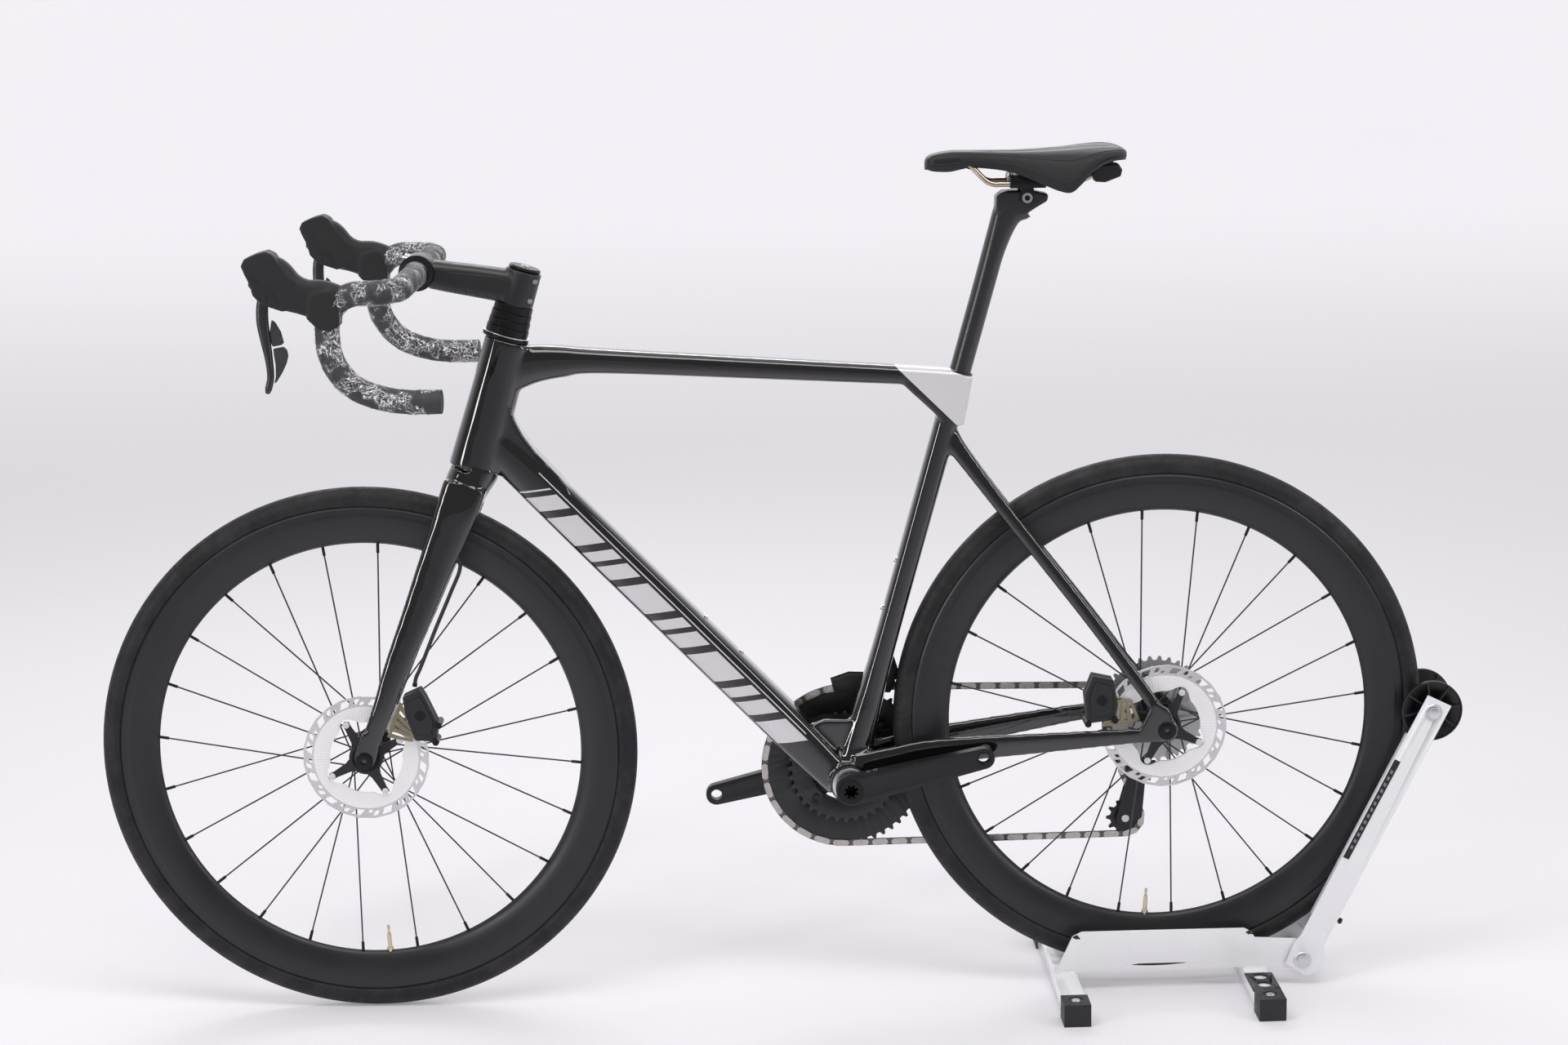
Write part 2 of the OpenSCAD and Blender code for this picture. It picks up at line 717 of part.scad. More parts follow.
module chain() {
    color("silver") for (i = [0:3]) {
        run(i);
        for (near = [-chain_out, chain_gap]) {
            wrap(i, route[i][3] + near, route[i][3] + near + chain_out - chain_gap);
        }
    }
}

module guide_pulley() {
    color("black") toothed(guide_pulley, cog_y0, 1.8, pulley_teeth, 2.5 + running);
}
module tension_pulley() {
    color("black") toothed(tension_pulley, cog_y0, 1.8, pulley_teeth, 2.5 + running);
}

// Derailleur: hanger knuckle, link, cage knuckle, and the cage that carries both pulleys
module rear_derailleur() {
    hanger = [-392, 0, 332];
    knuckle = [-366, 0, 280];
    color("dimgray") {
        across(hanger, -88, -71.2 - 8, 9);
        hull() {
            across(hanger, -88, -80, 9);
            across(knuckle, -86, -76, 12);
        }
        hull() {
            across(knuckle, -86, -71, 11);
            across(guide_pulley, -78, -71, 9);
        }
        for (y = [cog_y0 - 7, cog_y0 + 5]) translate([0, y + 1.5, 0]) rotate([90, 0, 0])
            linear_extrude(1.5) hull() {
                translate([guide_pulley[0], guide_pulley[2]]) circle(r = 10);
                translate([tension_pulley[0], tension_pulley[2]]) circle(r = 12);
                translate([tension_pulley[0] - 16, tension_pulley[2] + 4]) circle(r = 6);
            }
        across(guide_pulley, -72, cog_y0 + 6.5, 2.5);
        across(tension_pulley, cog_y0 - 7, cog_y0 + 6.5, 2.5);
    }
}

// Derailleur body on the seat tube, and the cage plates over the top of the ring
module front_derailleur() {
    cage = [[18, 404], [-6, 412], [-62, 409], [-66, 398], [-58, 386], [-20, 388], [14, 388]];
    color("dimgray") {
        plate(cage, ring_y - 7, ring_y - 6);
        plate(cage, ring_y + 6, ring_y + 7);
        plate([[-34, 402], [-34, 411], [-60, 409], [-60, 402]], ring_y - 7, ring_y + 7);
        plate([[-40, 402], [-36, 442], [-60, 446], [-68, 420], [-60, 402]], ring_y + 7, -19);
        plate([[-44, 414], [-40, 438], [-56, 440], [-60, 420]], -19, -14);
    }
}

module rear_caliper() {
    caliper(rear, rear_rotor_y, [[-300, 368], [-334, 372], [-338, 392],
        [-332, 424], [-306, 430], [-296, 404]],
        [[-331, 397], [-356, 396], [-368, 368], [-318, 362]]);
}

// ---- fork and cockpit, drawn straight ahead and then turned ----

module fork() {
    color("black") steered() difference() {
        union() {
            translate(on_steerer(383)) rotate([0, steer_tilt, 0]) cylinder(r = 14.3, h = 262);
            translate(on_steerer(383)) rotate([0, steer_tilt, 0]) cylinder(r = 19, h = 15);
            hull() {
                slice(on_steerer(383.5) - [3, 0, 0], steer_tilt, 64, 56);
                slice([479, 0, 669], -18, 58, 80);
            }
            for (side = [-1, 1]) {
                hull() {
                    slice([479, side * 30, 669], -18, 58, 20);
                    slice([514, side * 37, 580], -21, 44, 17);
                }
                hull() {
                    slice([514, side * 37, 580], -21, 44, 17);
                    slice([563, side * 49, 460], -22, 32, 12);
                }
                hull() {
                    slice([563, side * 49, 460], -22, 32, 12);
                    slice([597, side * 54, 370], -20, 25, 8);
                }
                translate([0, side * (front_drop_y + 4), 0]) across(front, -4, 4, 12.5);
                plate([[586, 372], [610, 374], [620, 344], [597, 336]], side * 54 - 4, side * 54 + 4);
            }
        }
        across(front, -70, 70, axle_r + 0.02);
    }
}

module front_axle() {
    color("dimgray") steered() difference() {
        union() {
            across(front, -front_drop_y - 9, front_drop_y + 8, axle_r);
            across(front, front_drop_y + 8, front_drop_y + 10, 9);
        }
        translate([front[0], front_drop_y + 12, front[2]])
            rotate([90, 0, 0]) cylinder(r = 3.4, h = 8, $fn = 6);
    }
}

module front_caliper() {
    steered() caliper(front, front_rotor_y,
        [[518, 362], [514, 384], [530, 420], [536, 430], [558, 420], [555, 396], [544, 364]],
        [[562, 414], [580, 368], [548, 361], [544, 380]]);
}

// Hose clipped along the back of the left blade, from its port to the caliper
module front_brake_hose() {
    points = [[490, 36, 604], [481, 37, 584], [534, 41, 458], [543, 41, 432]];
    color("black") steered() {
        for (i = [0:len(points) - 2]) rod(points[i], points[i + 1], 2.5);
        for (i = [1:len(points) - 2]) translate(points[i]) sphere(r = 2.62);
    }
}

// An oval ring round the steerer, between two heights along it
module oval_ring(s0, s1, deep, wide, r_in) {
    translate(on_steerer(s0)) rotate([0, steer_tilt, 0]) linear_extrude(s1 - s0) difference() {
        polygon([for (a = [0:10:350]) [deep / 2 * cos(a) + 1, wide / 2 * sin(a)]]);
        circle(r = r_in);
    }
}

// Bearing cover, spacers and the cap on top of the stem
module headset_stack() {
    color("dimgray") steered() {
        oval_ring(556.6, 562.9, 58, 48, 14.4);
        for (i = [0:3]) oval_ring(563 + i * 9.8, 572.7 + i * 9.8, 53 - i, 45 - i, 14.4);
        difference() {
            translate(on_steerer(646)) rotate([0, steer_tilt, 0]) cylinder(r = 19, h = 4);
            translate(on_steerer(648)) rotate([0, steer_tilt, 0]) cylinder(r = 4, h = 4);
        }
    }
}

stem_clamp_r = 15.9;

module stem() {
    ring_half_w = 21;
    color("dimgray") steered() difference() {
        union() {
            translate(on_steerer(602.3)) rotate([0, steer_tilt, 0]) cylinder(r = 20.5, h = 43);
            hull() {
                slice([405, 0, 929], 84, 38, 36);
                slice([500, 0, 945], 84, 37, 38);
            }
            across(bar_mid, -ring_half_w, ring_half_w, 22);
        }
        translate(on_steerer(590)) rotate([0, steer_tilt, 0]) cylinder(r = 14.35, h = 80);
        across(bar_mid, -ring_half_w - 1, ring_half_w + 1, stem_clamp_r + 0.03);
        // Slot at the back of the steerer clamp, and its two bolts' holes
        translate(on_steerer(624)) rotate([0, steer_tilt, 0]) translate([-40, -30, -1]) cube([26, 60, 2]);
        for (s = [612, 637]) translate(on_steerer(s)) rotate([0, steer_tilt, 0])
            translate([-17.5, 30, 0]) rotate([90, 0, 0]) cylinder(r = 1.8, h = 60);
        // Split between the clamp and its face plate
        translate([bar_mid[0] + 2, -30, bar_mid[2] - 40]) cube([1.2, 60, 80]);
    }
}

// One half of the handlebar's run at radius r: top, forward bend, hook and drop
bend_r = 42;
hook_r = 40;
drop_r = 70;
tail_r = 160;
tail_angle = 70;
hook_mid = [bar_mid[0] + bend_r, hood_spread, bar_mid[2] - hook_r];
drop_mid = [hook_mid[0] + hook_r - drop_r, hood_spread, hook_mid[2] - 14];
tail_mid = drop_mid + (drop_r - tail_r) * [cos(tail_angle), 0, -sin(tail_angle)];
bar_end = tail_mid + [-30, 0, -tail_r];

module arc_tube(c, bend, start, sweep, r) {
    translate(c) rotate([90, 0, 0]) rotate([0, 0, start]) rotate_extrude(angle = sweep)
        translate([bend, 0]) circle(r = r);
}

module half_bar(r, y_from, x_end) {
    across(bar_mid, y_from, hood_spread - bend_r, r);
    translate([bar_mid[0] + bend_r, hood_spread - bend_r, bar_mid[2]]) rotate([0, 0, 90])
        rotate_extrude(angle = 90) translate([bend_r, 0]) circle(r = r);
    arc_tube(hook_mid, hook_r, 0, 90, r);
    rod(hook_mid + [hook_r, 0, 0], drop_mid + [drop_r, 0, 0], r);
    arc_tube(drop_mid, drop_r, -tail_angle, tail_angle, r);
    arc_tube(tail_mid, tail_r, -90, 90 - tail_angle, r);
    rod(tail_mid - [0, 0, tail_r], [x_end, hood_spread, bar_end[2]], r);
}

bar_tube_r = 12;
module both_sides() {
    children();
    mirror([0, 1, 0]) children();
}

module handlebar() {
    color("black") steered() {
        both_sides() half_bar(bar_tube_r, 33, bar_end[0]);
        across(bar_mid, -34, 34, stem_clamp_r);
    }
}

// Tape wound on each side, with the end plug
module bar_tape() {
    color("dimgray") steered() both_sides() {
        difference() {
            half_bar(grip_r, 34.5, bar_end[0]);
            half_bar(bar_tube_r + 0.05, 30, bar_end[0] - 5);
        }
        rod(bar_end - [0.3, 0, 0], bar_end - [5, 0, 0], grip_r - 1);
    }
}

hood_half_w = 15;
lever_gap = 6.5;

module brake_hoods() {
    outline = [[590, 912], [588, 940], [600, 961], [625, 964], [637, 968], [651, 979], [664, 998],
        [672, 1002], [697, 993], [702, 985], [694, 966], [691, 950], [685, 942], [672, 934],
        [650, 928], [628, 922], [616, 908]];
    color("dimgray") steered() both_sides() {
        difference() {
            plate(outline, hood_spread - hood_half_w, hood_spread + hood_half_w);
            half_bar(grip_r + 0.1, 30, bar_end[0] - 5);
            translate([652, hood_spread - lever_gap, 900]) cube([60, 2 * lever_gap, 59]);
            across(lever_pivot, hood_spread - 40, hood_spread + 40, lever_pin_r);
        }
        across(lever_pivot, hood_spread - hood_half_w + 1, hood_spread + hood_half_w - 1, lever_pin_r);
    }
}

module brake_lever() {
    blade = [[669, 949], [682, 951], [688, 940], [689, 917], [684, 883], [679, 856], [684, 837], [681, 830],
        [675, 838], [671, 856], [673, 884], [676, 905], [673, 925], [668, 938]];
    color("black") difference() {
        union() {
            across(lever_pivot, hood_spread - 6, hood_spread + 6, 7);
            plate(blade, hood_spread - 5, hood_spread + 5);
        }
        across(lever_pivot, hood_spread - 10, hood_spread + 10, lever_pin_r + running);
    }
}
module brake_lever_left() steered() brake_lever();
module brake_lever_right() steered() mirror([0, 1, 0]) brake_lever();

// Shift paddles behind the blade, thin plates on its inner side
module upper_paddle() {
    color("black") plate([[672, 921], [663, 908], [658, 890], [671.5, 887], [674.5, 905]],
        hood_spread - 5, hood_spread + 1);
}
module lower_paddle() {
    color("black") plate([[671.5, 885.5], [657, 888], [653, 876], [661, 856], [672, 840], [669.5, 856]],
        hood_spread - 5, hood_spread + 1);
}
module upper_paddle_left() steered() upper_paddle();
module lower_paddle_left() steered() lower_paddle();
module upper_paddle_right() steered() mirror([0, 1, 0]) upper_paddle();
module lower_paddle_right() steered() mirror([0, 1, 0]) lower_paddle();

// ---- seat ----

clamp_mid = [-228, 0, 1028];
rail_z = 1046;
rail_y = 22;
rail_r = 3.5;
barrel_r = 7;

module seatpost() {
    head_top = 1037;
    color("black") difference() {
        union() {
            translate(on_seat_tube(seat_tube_len - 120)) rotate([0, seat_tilt, 0])
                cylinder(r = post_r, h = 120 + post_out - 8);
            plate([[-186, 992], [-190, 1030], [-198, head_top], [-236, head_top], [-256, 1032],
                [-255, 1021], [-236, 1014], [-213, 988]], -13.5, 13.5);
        }
        across(clamp_mid, -20, 20, barrel_r + running);
    }
}

// Clamp block that holds both rails, on a barrel through the post's head
module saddle_clamp() {
    color("dimgray") difference() {
        union() {
            across(clamp_mid, -18, 18, barrel_r);
            for (y = [-18, 14]) translate([-236, y, 1024]) cube([16, 4, 20]);
            translate([-250, -27.5, rail_z - 5]) cube([44, 55, 13]);
        }
        for (y = [-rail_y, rail_y]) rod([-270, y, rail_z], [-190, y, rail_z], rail_r + running);
    }
}

module saddle_rails() {
    color("peru") for (side = [-1, 1]) {
        points = [[-157, side * 13, 1071], [-188, side * rail_y, rail_z], [-280, side * rail_y, rail_z],
            [-312, side * 26, 1056]];
        for (i = [0:2]) rod(points[i], points[i + 1], rail_r);
        for (i = [1:2]) translate(points[i]) sphere(r = rail_r + 0.15);
    }
    color("dimgray") translate([-344, -32, 1050]) cube([32, 64, 13]);
}

// Short saddle: a padded nose and centre, with a wing falling away on each side
module saddle() {
    color("black") {
        hull() {
            translate([-118, 0, 1074]) scale([1, 1, 0.72]) sphere(r = 15, $fn = 28);
            translate([-190, 0, 1077]) scale([1, 1, 0.36]) sphere(r = 23, $fn = 28);
        }
        hull() {
            translate([-190, 0, 1077]) scale([1, 1, 0.36]) sphere(r = 23, $fn = 28);
            for (side = [-1, 1]) translate([-318, side * 34, 1079])
                scale([1, 1, 0.4]) sphere(r = 27, $fn = 28);
        }
        for (side = [-1, 1]) hull() {
            translate([-205, side * 20, 1074]) scale([1, 1, 0.3]) sphere(r = 20, $fn = 28);
            translate([-318, side * 44, 1078]) scale([1, 1, 0.4]) sphere(r = 27, $fn = 28);
            translate([-278, side * 57, 1055]) scale([1.6, 0.7, 1]) sphere(r = 11, $fn = 28);
        }
    }
}

stand_side_plates();
stand_cross_tubes();
stand_feet();
foot_cover();
arm();
arm_bolts();
arm_spring();
roller_left();
roller_right();
head_tube();
top_tube();
down_tube();
seat_tube();
bottom_bracket_shell();
frame_bearings();
seat_stays();
chain_stays();
rear_axle();
bottle_bosses();
rear_caliper();
front_derailleur();
rear_derailleur();
guide_pulley();
tension_pulley();
chain();
crank_left();
crank_right();
chainrings();
cassette();
fork();
stem();
headset_stack();
handlebar();
bar_tape();
brake_hoods();
front_axle();
front_caliper();
front_brake_hose();
brake_lever_left();
brake_lever_right();
upper_paddle_left();
lower_paddle_left();
upper_paddle_right();
lower_paddle_right();
front_tyre();
front_rim();
front_spokes();
front_hub();
front_rotor();
front_valve();
rear_tyre();
rear_rim();
rear_spokes();
rear_hub();
rear_rotor();
rear_valve();
seatpost();
saddle_clamp();
saddle_rails();
saddle();
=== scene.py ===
"""Looks of a road bicycle held in a floor stand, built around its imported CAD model."""

import math
import random

import bmesh
import bpy
import numpy as np
from mathutils import Matrix, Vector


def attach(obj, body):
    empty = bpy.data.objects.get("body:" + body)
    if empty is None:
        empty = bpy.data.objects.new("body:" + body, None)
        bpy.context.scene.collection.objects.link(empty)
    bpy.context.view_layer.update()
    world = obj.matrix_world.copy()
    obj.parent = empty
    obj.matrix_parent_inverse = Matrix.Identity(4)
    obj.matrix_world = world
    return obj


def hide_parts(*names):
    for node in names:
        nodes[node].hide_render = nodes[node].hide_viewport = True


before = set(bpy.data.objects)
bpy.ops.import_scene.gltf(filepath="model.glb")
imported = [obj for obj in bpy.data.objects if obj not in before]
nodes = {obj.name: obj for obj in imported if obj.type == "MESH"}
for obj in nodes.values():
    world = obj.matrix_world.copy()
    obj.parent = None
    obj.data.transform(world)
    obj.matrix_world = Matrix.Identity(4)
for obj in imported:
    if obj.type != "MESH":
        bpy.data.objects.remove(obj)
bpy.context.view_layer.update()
MM = 0.001
scene = bpy.context.scene


# ---- places, in millimetres ----
HEAD = math.radians(73.3)
REAR = Vector((-398.5, 0, 359.5))
FRONT = Vector((608, 0, 340))
BB = Vector((0, 0, 288))
STEER_UP = Vector((-math.cos(HEAD), 0, math.sin(HEAD)))
STEER_FOOT = FRONT - 31 * Vector((math.sin(HEAD), 0, math.cos(HEAD)))
SEAT = math.radians(74.4)
SEAT_UP = Vector((-math.cos(SEAT), 0, math.sin(SEAT)))
SEAT_FRONT = Vector((math.sin(SEAT), 0, math.cos(SEAT)))
DOWN_LOW = Vector((6, 0, 283))
DOWN_HIGH = Vector((437, 0, 736))
DOWN_DIR = (DOWN_HIGH - DOWN_LOW).normalized()
DOWN_UP = Vector((-DOWN_DIR.z, 0, DOWN_DIR.x))
BAR_Y = 211
STEERED = (
    Matrix.Translation(STEER_FOOT)
    @ Matrix.Rotation(math.radians(-3.2), 4, STEER_UP)
    @ Matrix.Translation(-STEER_FOOT)
)
PLAIN = Matrix.Identity(4)


def on_steerer(s):
    return STEER_FOOT + s * STEER_UP


def on_seat_tube(up, ahead=0.0):
    return BB + up * SEAT_UP + ahead * SEAT_FRONT


def on_down_tube(s, above=0.0):
    return DOWN_LOW + s * DOWN_DIR + above * DOWN_UP


def polar(c, r, degrees, y=0.0):
    a = math.radians(degrees)
    return Vector((c[0] + r * math.cos(a), y, c[2] + r * math.sin(a)))


# ---- materials ----
class Nodes:
    """Short calls for building one material's node tree."""

    def __init__(self, name):
        self.material = bpy.data.materials.new(name)
        self.material.use_nodes = True
        self.tree = self.material.node_tree
        self.shader = self.tree.nodes["Principled BSDF"]
        self.where = self.tree.nodes.new("ShaderNodeTexCoord").outputs["Object"]

    def put(self, socket, value):
        if isinstance(value, bpy.types.NodeSocket):
            self.tree.links.new(value, socket)
        else:
            socket.default_value = value

    def set(self, **values):
        for key, value in values.items():
            self.put(self.shader.inputs[key.replace("_", " ")], value)

    def math(self, kind, a, b=0.0, c=0.0):
        n = self.tree.nodes.new("ShaderNodeMath")
        n.operation = kind
        for socket, value in zip(n.inputs, (a, b, c)):
            self.put(socket, value)
        return n.outputs[0]

    def mix(self, factor, a, b):
        n = self.tree.nodes.new("ShaderNodeMix")
        n.data_type = "RGBA"
        self.put(n.inputs[0], factor)
        for socket, value in ((n.inputs[6], a), (n.inputs[7], b)):
            self.put(socket, value if isinstance(value, bpy.types.NodeSocket) else (*value[:3], 1.0))
        return n.outputs[2]

    def noise(self, scale, detail=3.0, stretch=(1, 1, 1), where=None, rough=0.5, distort=0.0):
        m = self.tree.nodes.new("ShaderNodeMapping")
        m.inputs["Scale"].default_value = stretch
        self.put(m.inputs["Vector"], where or self.where)
        n = self.tree.nodes.new("ShaderNodeTexNoise")
        n.inputs["Scale"].default_value = scale
        n.inputs["Detail"].default_value = detail
        n.inputs["Roughness"].default_value = rough
        n.inputs["Distortion"].default_value = distort
        self.put(n.inputs["Vector"], m.outputs[0])
        return n.outputs["Fac"]

    def cells(self, scale, stretch=(1, 1, 1), feature="F1"):
        m = self.tree.nodes.new("ShaderNodeMapping")
        m.inputs["Scale"].default_value = stretch
        self.put(m.inputs["Vector"], self.where)
        n = self.tree.nodes.new("ShaderNodeTexVoronoi")
        n.feature = feature
        n.inputs["Scale"].default_value = scale
        self.put(n.inputs["Vector"], m.outputs[0])
        return n.outputs["Distance"]

    def ramp(self, value, low, high, out_low=0.0, out_high=1.0):
        n = self.tree.nodes.new("ShaderNodeMapRange")
        n.interpolation_type = "SMOOTHSTEP"
        for socket, v in zip(n.inputs, (value, low, high, out_low, out_high)):
            self.put(socket, v)
        return n.outputs[0]

    def axes(self):
        n = self.tree.nodes.new("ShaderNodeSeparateXYZ")
        self.put(n.inputs[0], self.where)
        return n.outputs

    def along(self, origin, direction):
        """Distance in millimetres from a point, along a direction."""
        n = self.tree.nodes.new("ShaderNodeVectorMath")
        n.operation = "DOT_PRODUCT"
        self.put(n.inputs[0], self.where)
        n.inputs[1].default_value = tuple(Vector(direction).normalized())
        start = Vector(origin).dot(Vector(direction).normalized()) * MM
        return self.math("MULTIPLY", self.math("SUBTRACT", n.outputs["Value"], start), 1000.0)

    def bump(self, height, distance=0.0003, strength=1.0):
        n = self.tree.nodes.new("ShaderNodeBump")
        n.inputs["Strength"].default_value = strength
        n.inputs["Distance"].default_value = distance
        self.put(n.inputs["Height"], height)
        self.set(Normal=n.outputs[0])


def finish(name, color, rough, metal=0.0, coat=0.0, vary=0.12, scale=30.0, grain=0.0, grain_scale=900.0,
           rough_vary=0.06, stretch=(1, 1, 1), coat_rough=0.04, sheen=0.0, spec=0.5):
    """A plain moulded, painted or machined finish with slow colour change, uneven gloss and fine grain."""
    n = Nodes(name)
    cloud = n.noise(scale, 4.0, stretch)
    n.set(Base_Color=n.mix(cloud, [c * (1 - vary) for c in color], [c * (1 + vary) for c in color]))
    smudge = n.noise(scale * 2.7, 5.0, stretch)
    n.set(Roughness=n.ramp(smudge, 0.25, 0.75, max(0.02, rough - rough_vary), rough + rough_vary))
    n.set(Metallic=metal, Coat_Weight=coat, Coat_Roughness=coat_rough, Specular_IOR_Level=spec)
    if sheen:
        n.set(Sheen_Weight=sheen, Sheen_Roughness=0.5)
    if grain:
        n.bump(n.noise(grain_scale, 3.0, stretch), grain * MM)
    return n


BLACK_GLOSS = (0.005, 0.0045, 0.005)
steel = finish("steel", (0.60, 0.60, 0.61), 0.28, 1.0, grain=0.03, grain_scale=1500).material
zinc = finish("zinc_plate", (0.68, 0.69, 0.70), 0.33, 1.0, grain=0.05, grain_scale=700).material
alloy = finish("bare_alloy", (0.78, 0.78, 0.79), 0.3, 1.0, grain=0.02).material
black_alloy = finish("black_alloy", (0.012, 0.012, 0.013), 0.34, 0.6, grain=0.04,
                     grain_scale=1800).material
satin_black = finish("satin_black", (0.010, 0.010, 0.011), 0.42, 0.0, coat=0.15, grain=0.04,
                     coat_rough=0.4).material
crank_black = finish("crank_black", (0.012, 0.012, 0.013), 0.36, 0.3, grain=0.03,
                     grain_scale=2500).material
plastic = finish("moulded_plastic", (0.010, 0.010, 0.011), 0.4, grain=0.06, grain_scale=1400).material
hood_rubber = finish("hood_rubber", (0.013, 0.0125, 0.0135), 0.62, grain=0.09, grain_scale=2200,
                     spec=0.35, sheen=0.08).material
foot_rubber = finish("foot_rubber", (0.013, 0.013, 0.014), 0.55, grain=0.12, grain_scale=900).material
white_paint = finish("white_paint", (0.83, 0.835, 0.85), 0.22, coat=0.5, vary=0.02, grain=0.05,
                     grain_scale=260,
                     coat_rough=0.12).material
cassette_steel = finish("cassette_steel", (0.42, 0.42, 0.43), 0.3, 1.0, grain=0.03).material
chain_steel = finish("chain_steel", (0.50, 0.48, 0.46), 0.3, 1.0, vary=0.25, scale=120,
                     grain=0.03).material
chain_inner = finish("chain_rollers", (0.13, 0.125, 0.12), 0.35, 1.0).material
post_carbon = finish("post_carbon", (0.013, 0.0125, 0.0135), 0.3, coat=0.4, vary=0.35, scale=160,
                     stretch=(1, 1, 0.35),
                     coat_rough=0.25, grain=0.02).material
hose_rubber = finish("hose_rubber", (0.012, 0.012, 0.013), 0.35, grain=0.03).material
orange = finish("orange_clip", (0.55, 0.11, 0.015), 0.35).material
brass_fin = finish("fin_plate", (0.30, 0.27, 0.17), 0.34, 1.0, vary=0.2, scale=60, grain=0.03).material
white_alloy = finish("bright_fins", (0.93, 0.93, 0.92), 0.36, 0.35, vary=0.02, grain=0.03).material
rail_metal = finish("rail_metal", (0.52, 0.43, 0.35), 0.3, 1.0, grain=0.04, stretch=(1, 8, 1)).material
valve_brass = finish("valve_brass", (0.66, 0.58, 0.44), 0.26, 1.0).material
panel_black = finish("panel_black", (0.010, 0.010, 0.011), 0.5, grain=0.12, grain_scale=1600).material


def rotor_finish():
    """Braking surface: fine turned circles round the hub, faintly blued by heat."""
    made = []
    for c in (FRONT, REAR):
        n = Nodes("rotor_steel_%d" % len(made))
        x, _, z = n.axes()
        r = n.math("SQRT", n.math("ADD", n.math("POWER", n.math("SUBTRACT", x, c.x * MM), 2.0),
                                  n.math("POWER", n.math("SUBTRACT", z, c.z * MM), 2.0)))
        lines = n.math("SINE", n.math("MULTIPLY", r, 9000.0))
        n.set(Base_Color=n.mix(n.noise(60), (0.66, 0.66, 0.68), (0.78, 0.77, 0.76)), Metallic=1.0)
        n.set(Roughness=n.ramp(lines, -1.0, 1.0, 0.24, 0.36))
        n.bump(lines, 0.02 * MM)
        made.append(n.material)
    return made


def frame_paint(name, with_panels):
    """Deep black lacquer; the frame also has a silver seat cluster and slanted silver bars on its
    down tube."""
    n = Nodes(name)
    fleck = n.noise(1400, 2.0)
    black = n.mix(n.noise(12), BLACK_GLOSS, (0.007, 0.006, 0.0065))
    if not with_panels:
        n.set(Base_Color=black, Roughness=n.ramp(n.noise(40), 0.3, 0.7, 0.05, 0.09))
        n.set(Coat_Weight=1.0, Coat_Roughness=0.02)
        return n.material
    silver = n.mix(fleck, (0.60, 0.59, 0.61), (0.72, 0.71, 0.73))
    # Seat cluster: behind a line that falls from the top tube towards the seat stays
    a, b = Vector((-71.0, 0, 814.0)), Vector((-143.5, 0, 742.0))
    line = (b - a).normalized()
    behind = n.along(a, (line.z, 0, -line.x))
    cluster = n.math("GREATER_THAN", behind, 0.0)
    above = n.math("GREATER_THAN", n.axes()[2], 0.72)
    rear_side = n.math("LESS_THAN", n.axes()[0], -0.05)
    cluster = n.math("MULTIPLY", cluster, n.math("MULTIPLY", above, rear_side))
    # Down tube: a row of slanted bars on both flanks
    s = n.along(DOWN_LOW, DOWN_DIR)
    h = n.along(DOWN_LOW, DOWN_UP)
    slanted = n.math("ADD", s, n.math("MULTIPLY", h, 0.75))
    step = n.math("FRACT", n.math("DIVIDE", slanted, 62.0))
    bars = n.math("GREATER_THAN", step, 0.2)
    thin = n.math("LESS_THAN",
                  n.math("ABSOLUTE", n.math("SUBTRACT", n.math("FRACT",
                      n.math("DIVIDE", slanted, 124.0)), 0.33)), 0.035)
    bars = n.math("MULTIPLY", bars, n.math("SUBTRACT", 1.0, thin))
    for limit in (n.math("GREATER_THAN", slanted, 84.0), n.math("LESS_THAN", slanted, 544.0),
                  n.math("GREATER_THAN", h, -21.5), n.math("LESS_THAN", h, 9.5),
                  n.math("GREATER_THAN", n.math("ABSOLUTE", n.axes()[1]), 0.0125)):
        bars = n.math("MULTIPLY", bars, limit)
    edge = n.math("MULTIPLY", n.math("LESS_THAN", n.math("ABSOLUTE", n.math("SUBTRACT", h, 13.5)), 0.7),
                  n.math("MULTIPLY", n.math("GREATER_THAN", s, 84.0), n.math("LESS_THAN", s, 560.0)))
    silver_mask = n.math("MAXIMUM", n.math("MAXIMUM", cluster, bars), edge)
    n.set(Base_Color=n.mix(silver_mask, black, silver))
    n.set(Roughness=n.ramp(silver_mask, 0.0, 1.0, 0.06, 0.32),
          Metallic=n.math("MULTIPLY", silver_mask, 0.12))
    n.set(Coat_Weight=1.0, Coat_Roughness=0.025)
    return n.material


frame_black = frame_paint("frame_lacquer", True)
fork_black = frame_paint("fork_lacquer", False)
rotor_front_mat, rotor_rear_mat = rotor_finish()


def rubber_tyre():
    n = Nodes("tyre_rubber")
    dust = n.noise(25, 6.0, rough=0.65)
    n.set(Base_Color=n.mix(n.ramp(dust, 0.35, 0.75), (0.011, 0.0105, 0.0115), (0.027, 0.025, 0.026)))
    n.set(Roughness=n.ramp(n.noise(90, 4.0), 0.3, 0.7, 0.48, 0.66), Specular_IOR_Level=0.3)
    n.bump(n.noise(1100, 4.0, rough=0.7), 0.10 * MM)
    return n.material


def rim_carbon():
    n = Nodes("rim_carbon")
    n.set(Base_Color=n.mix(n.noise(9, 4.0), (0.011, 0.0108, 0.012), (0.019, 0.0185, 0.0205)))
    n.set(Roughness=n.ramp(n.noise(14, 6.0, rough=0.6), 0.3, 0.7, 0.30, 0.42), Specular_IOR_Level=0.38)
    n.set(Coat_Weight=0.12, Coat_Roughness=0.35)
    n.bump(n.noise(1500, 2.0), 0.015 * MM)
    return n.material


tyre_mat = rubber_tyre()
rim_mat = rim_carbon()


# ---- mesh helpers ----
def add_object(name, mesh, body, replaces=()):
    ob = bpy.data.objects.new(name, mesh)
    scene.collection.objects.link(ob)
    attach(ob, body)
    if replaces:
        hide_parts(*replaces)
    return ob


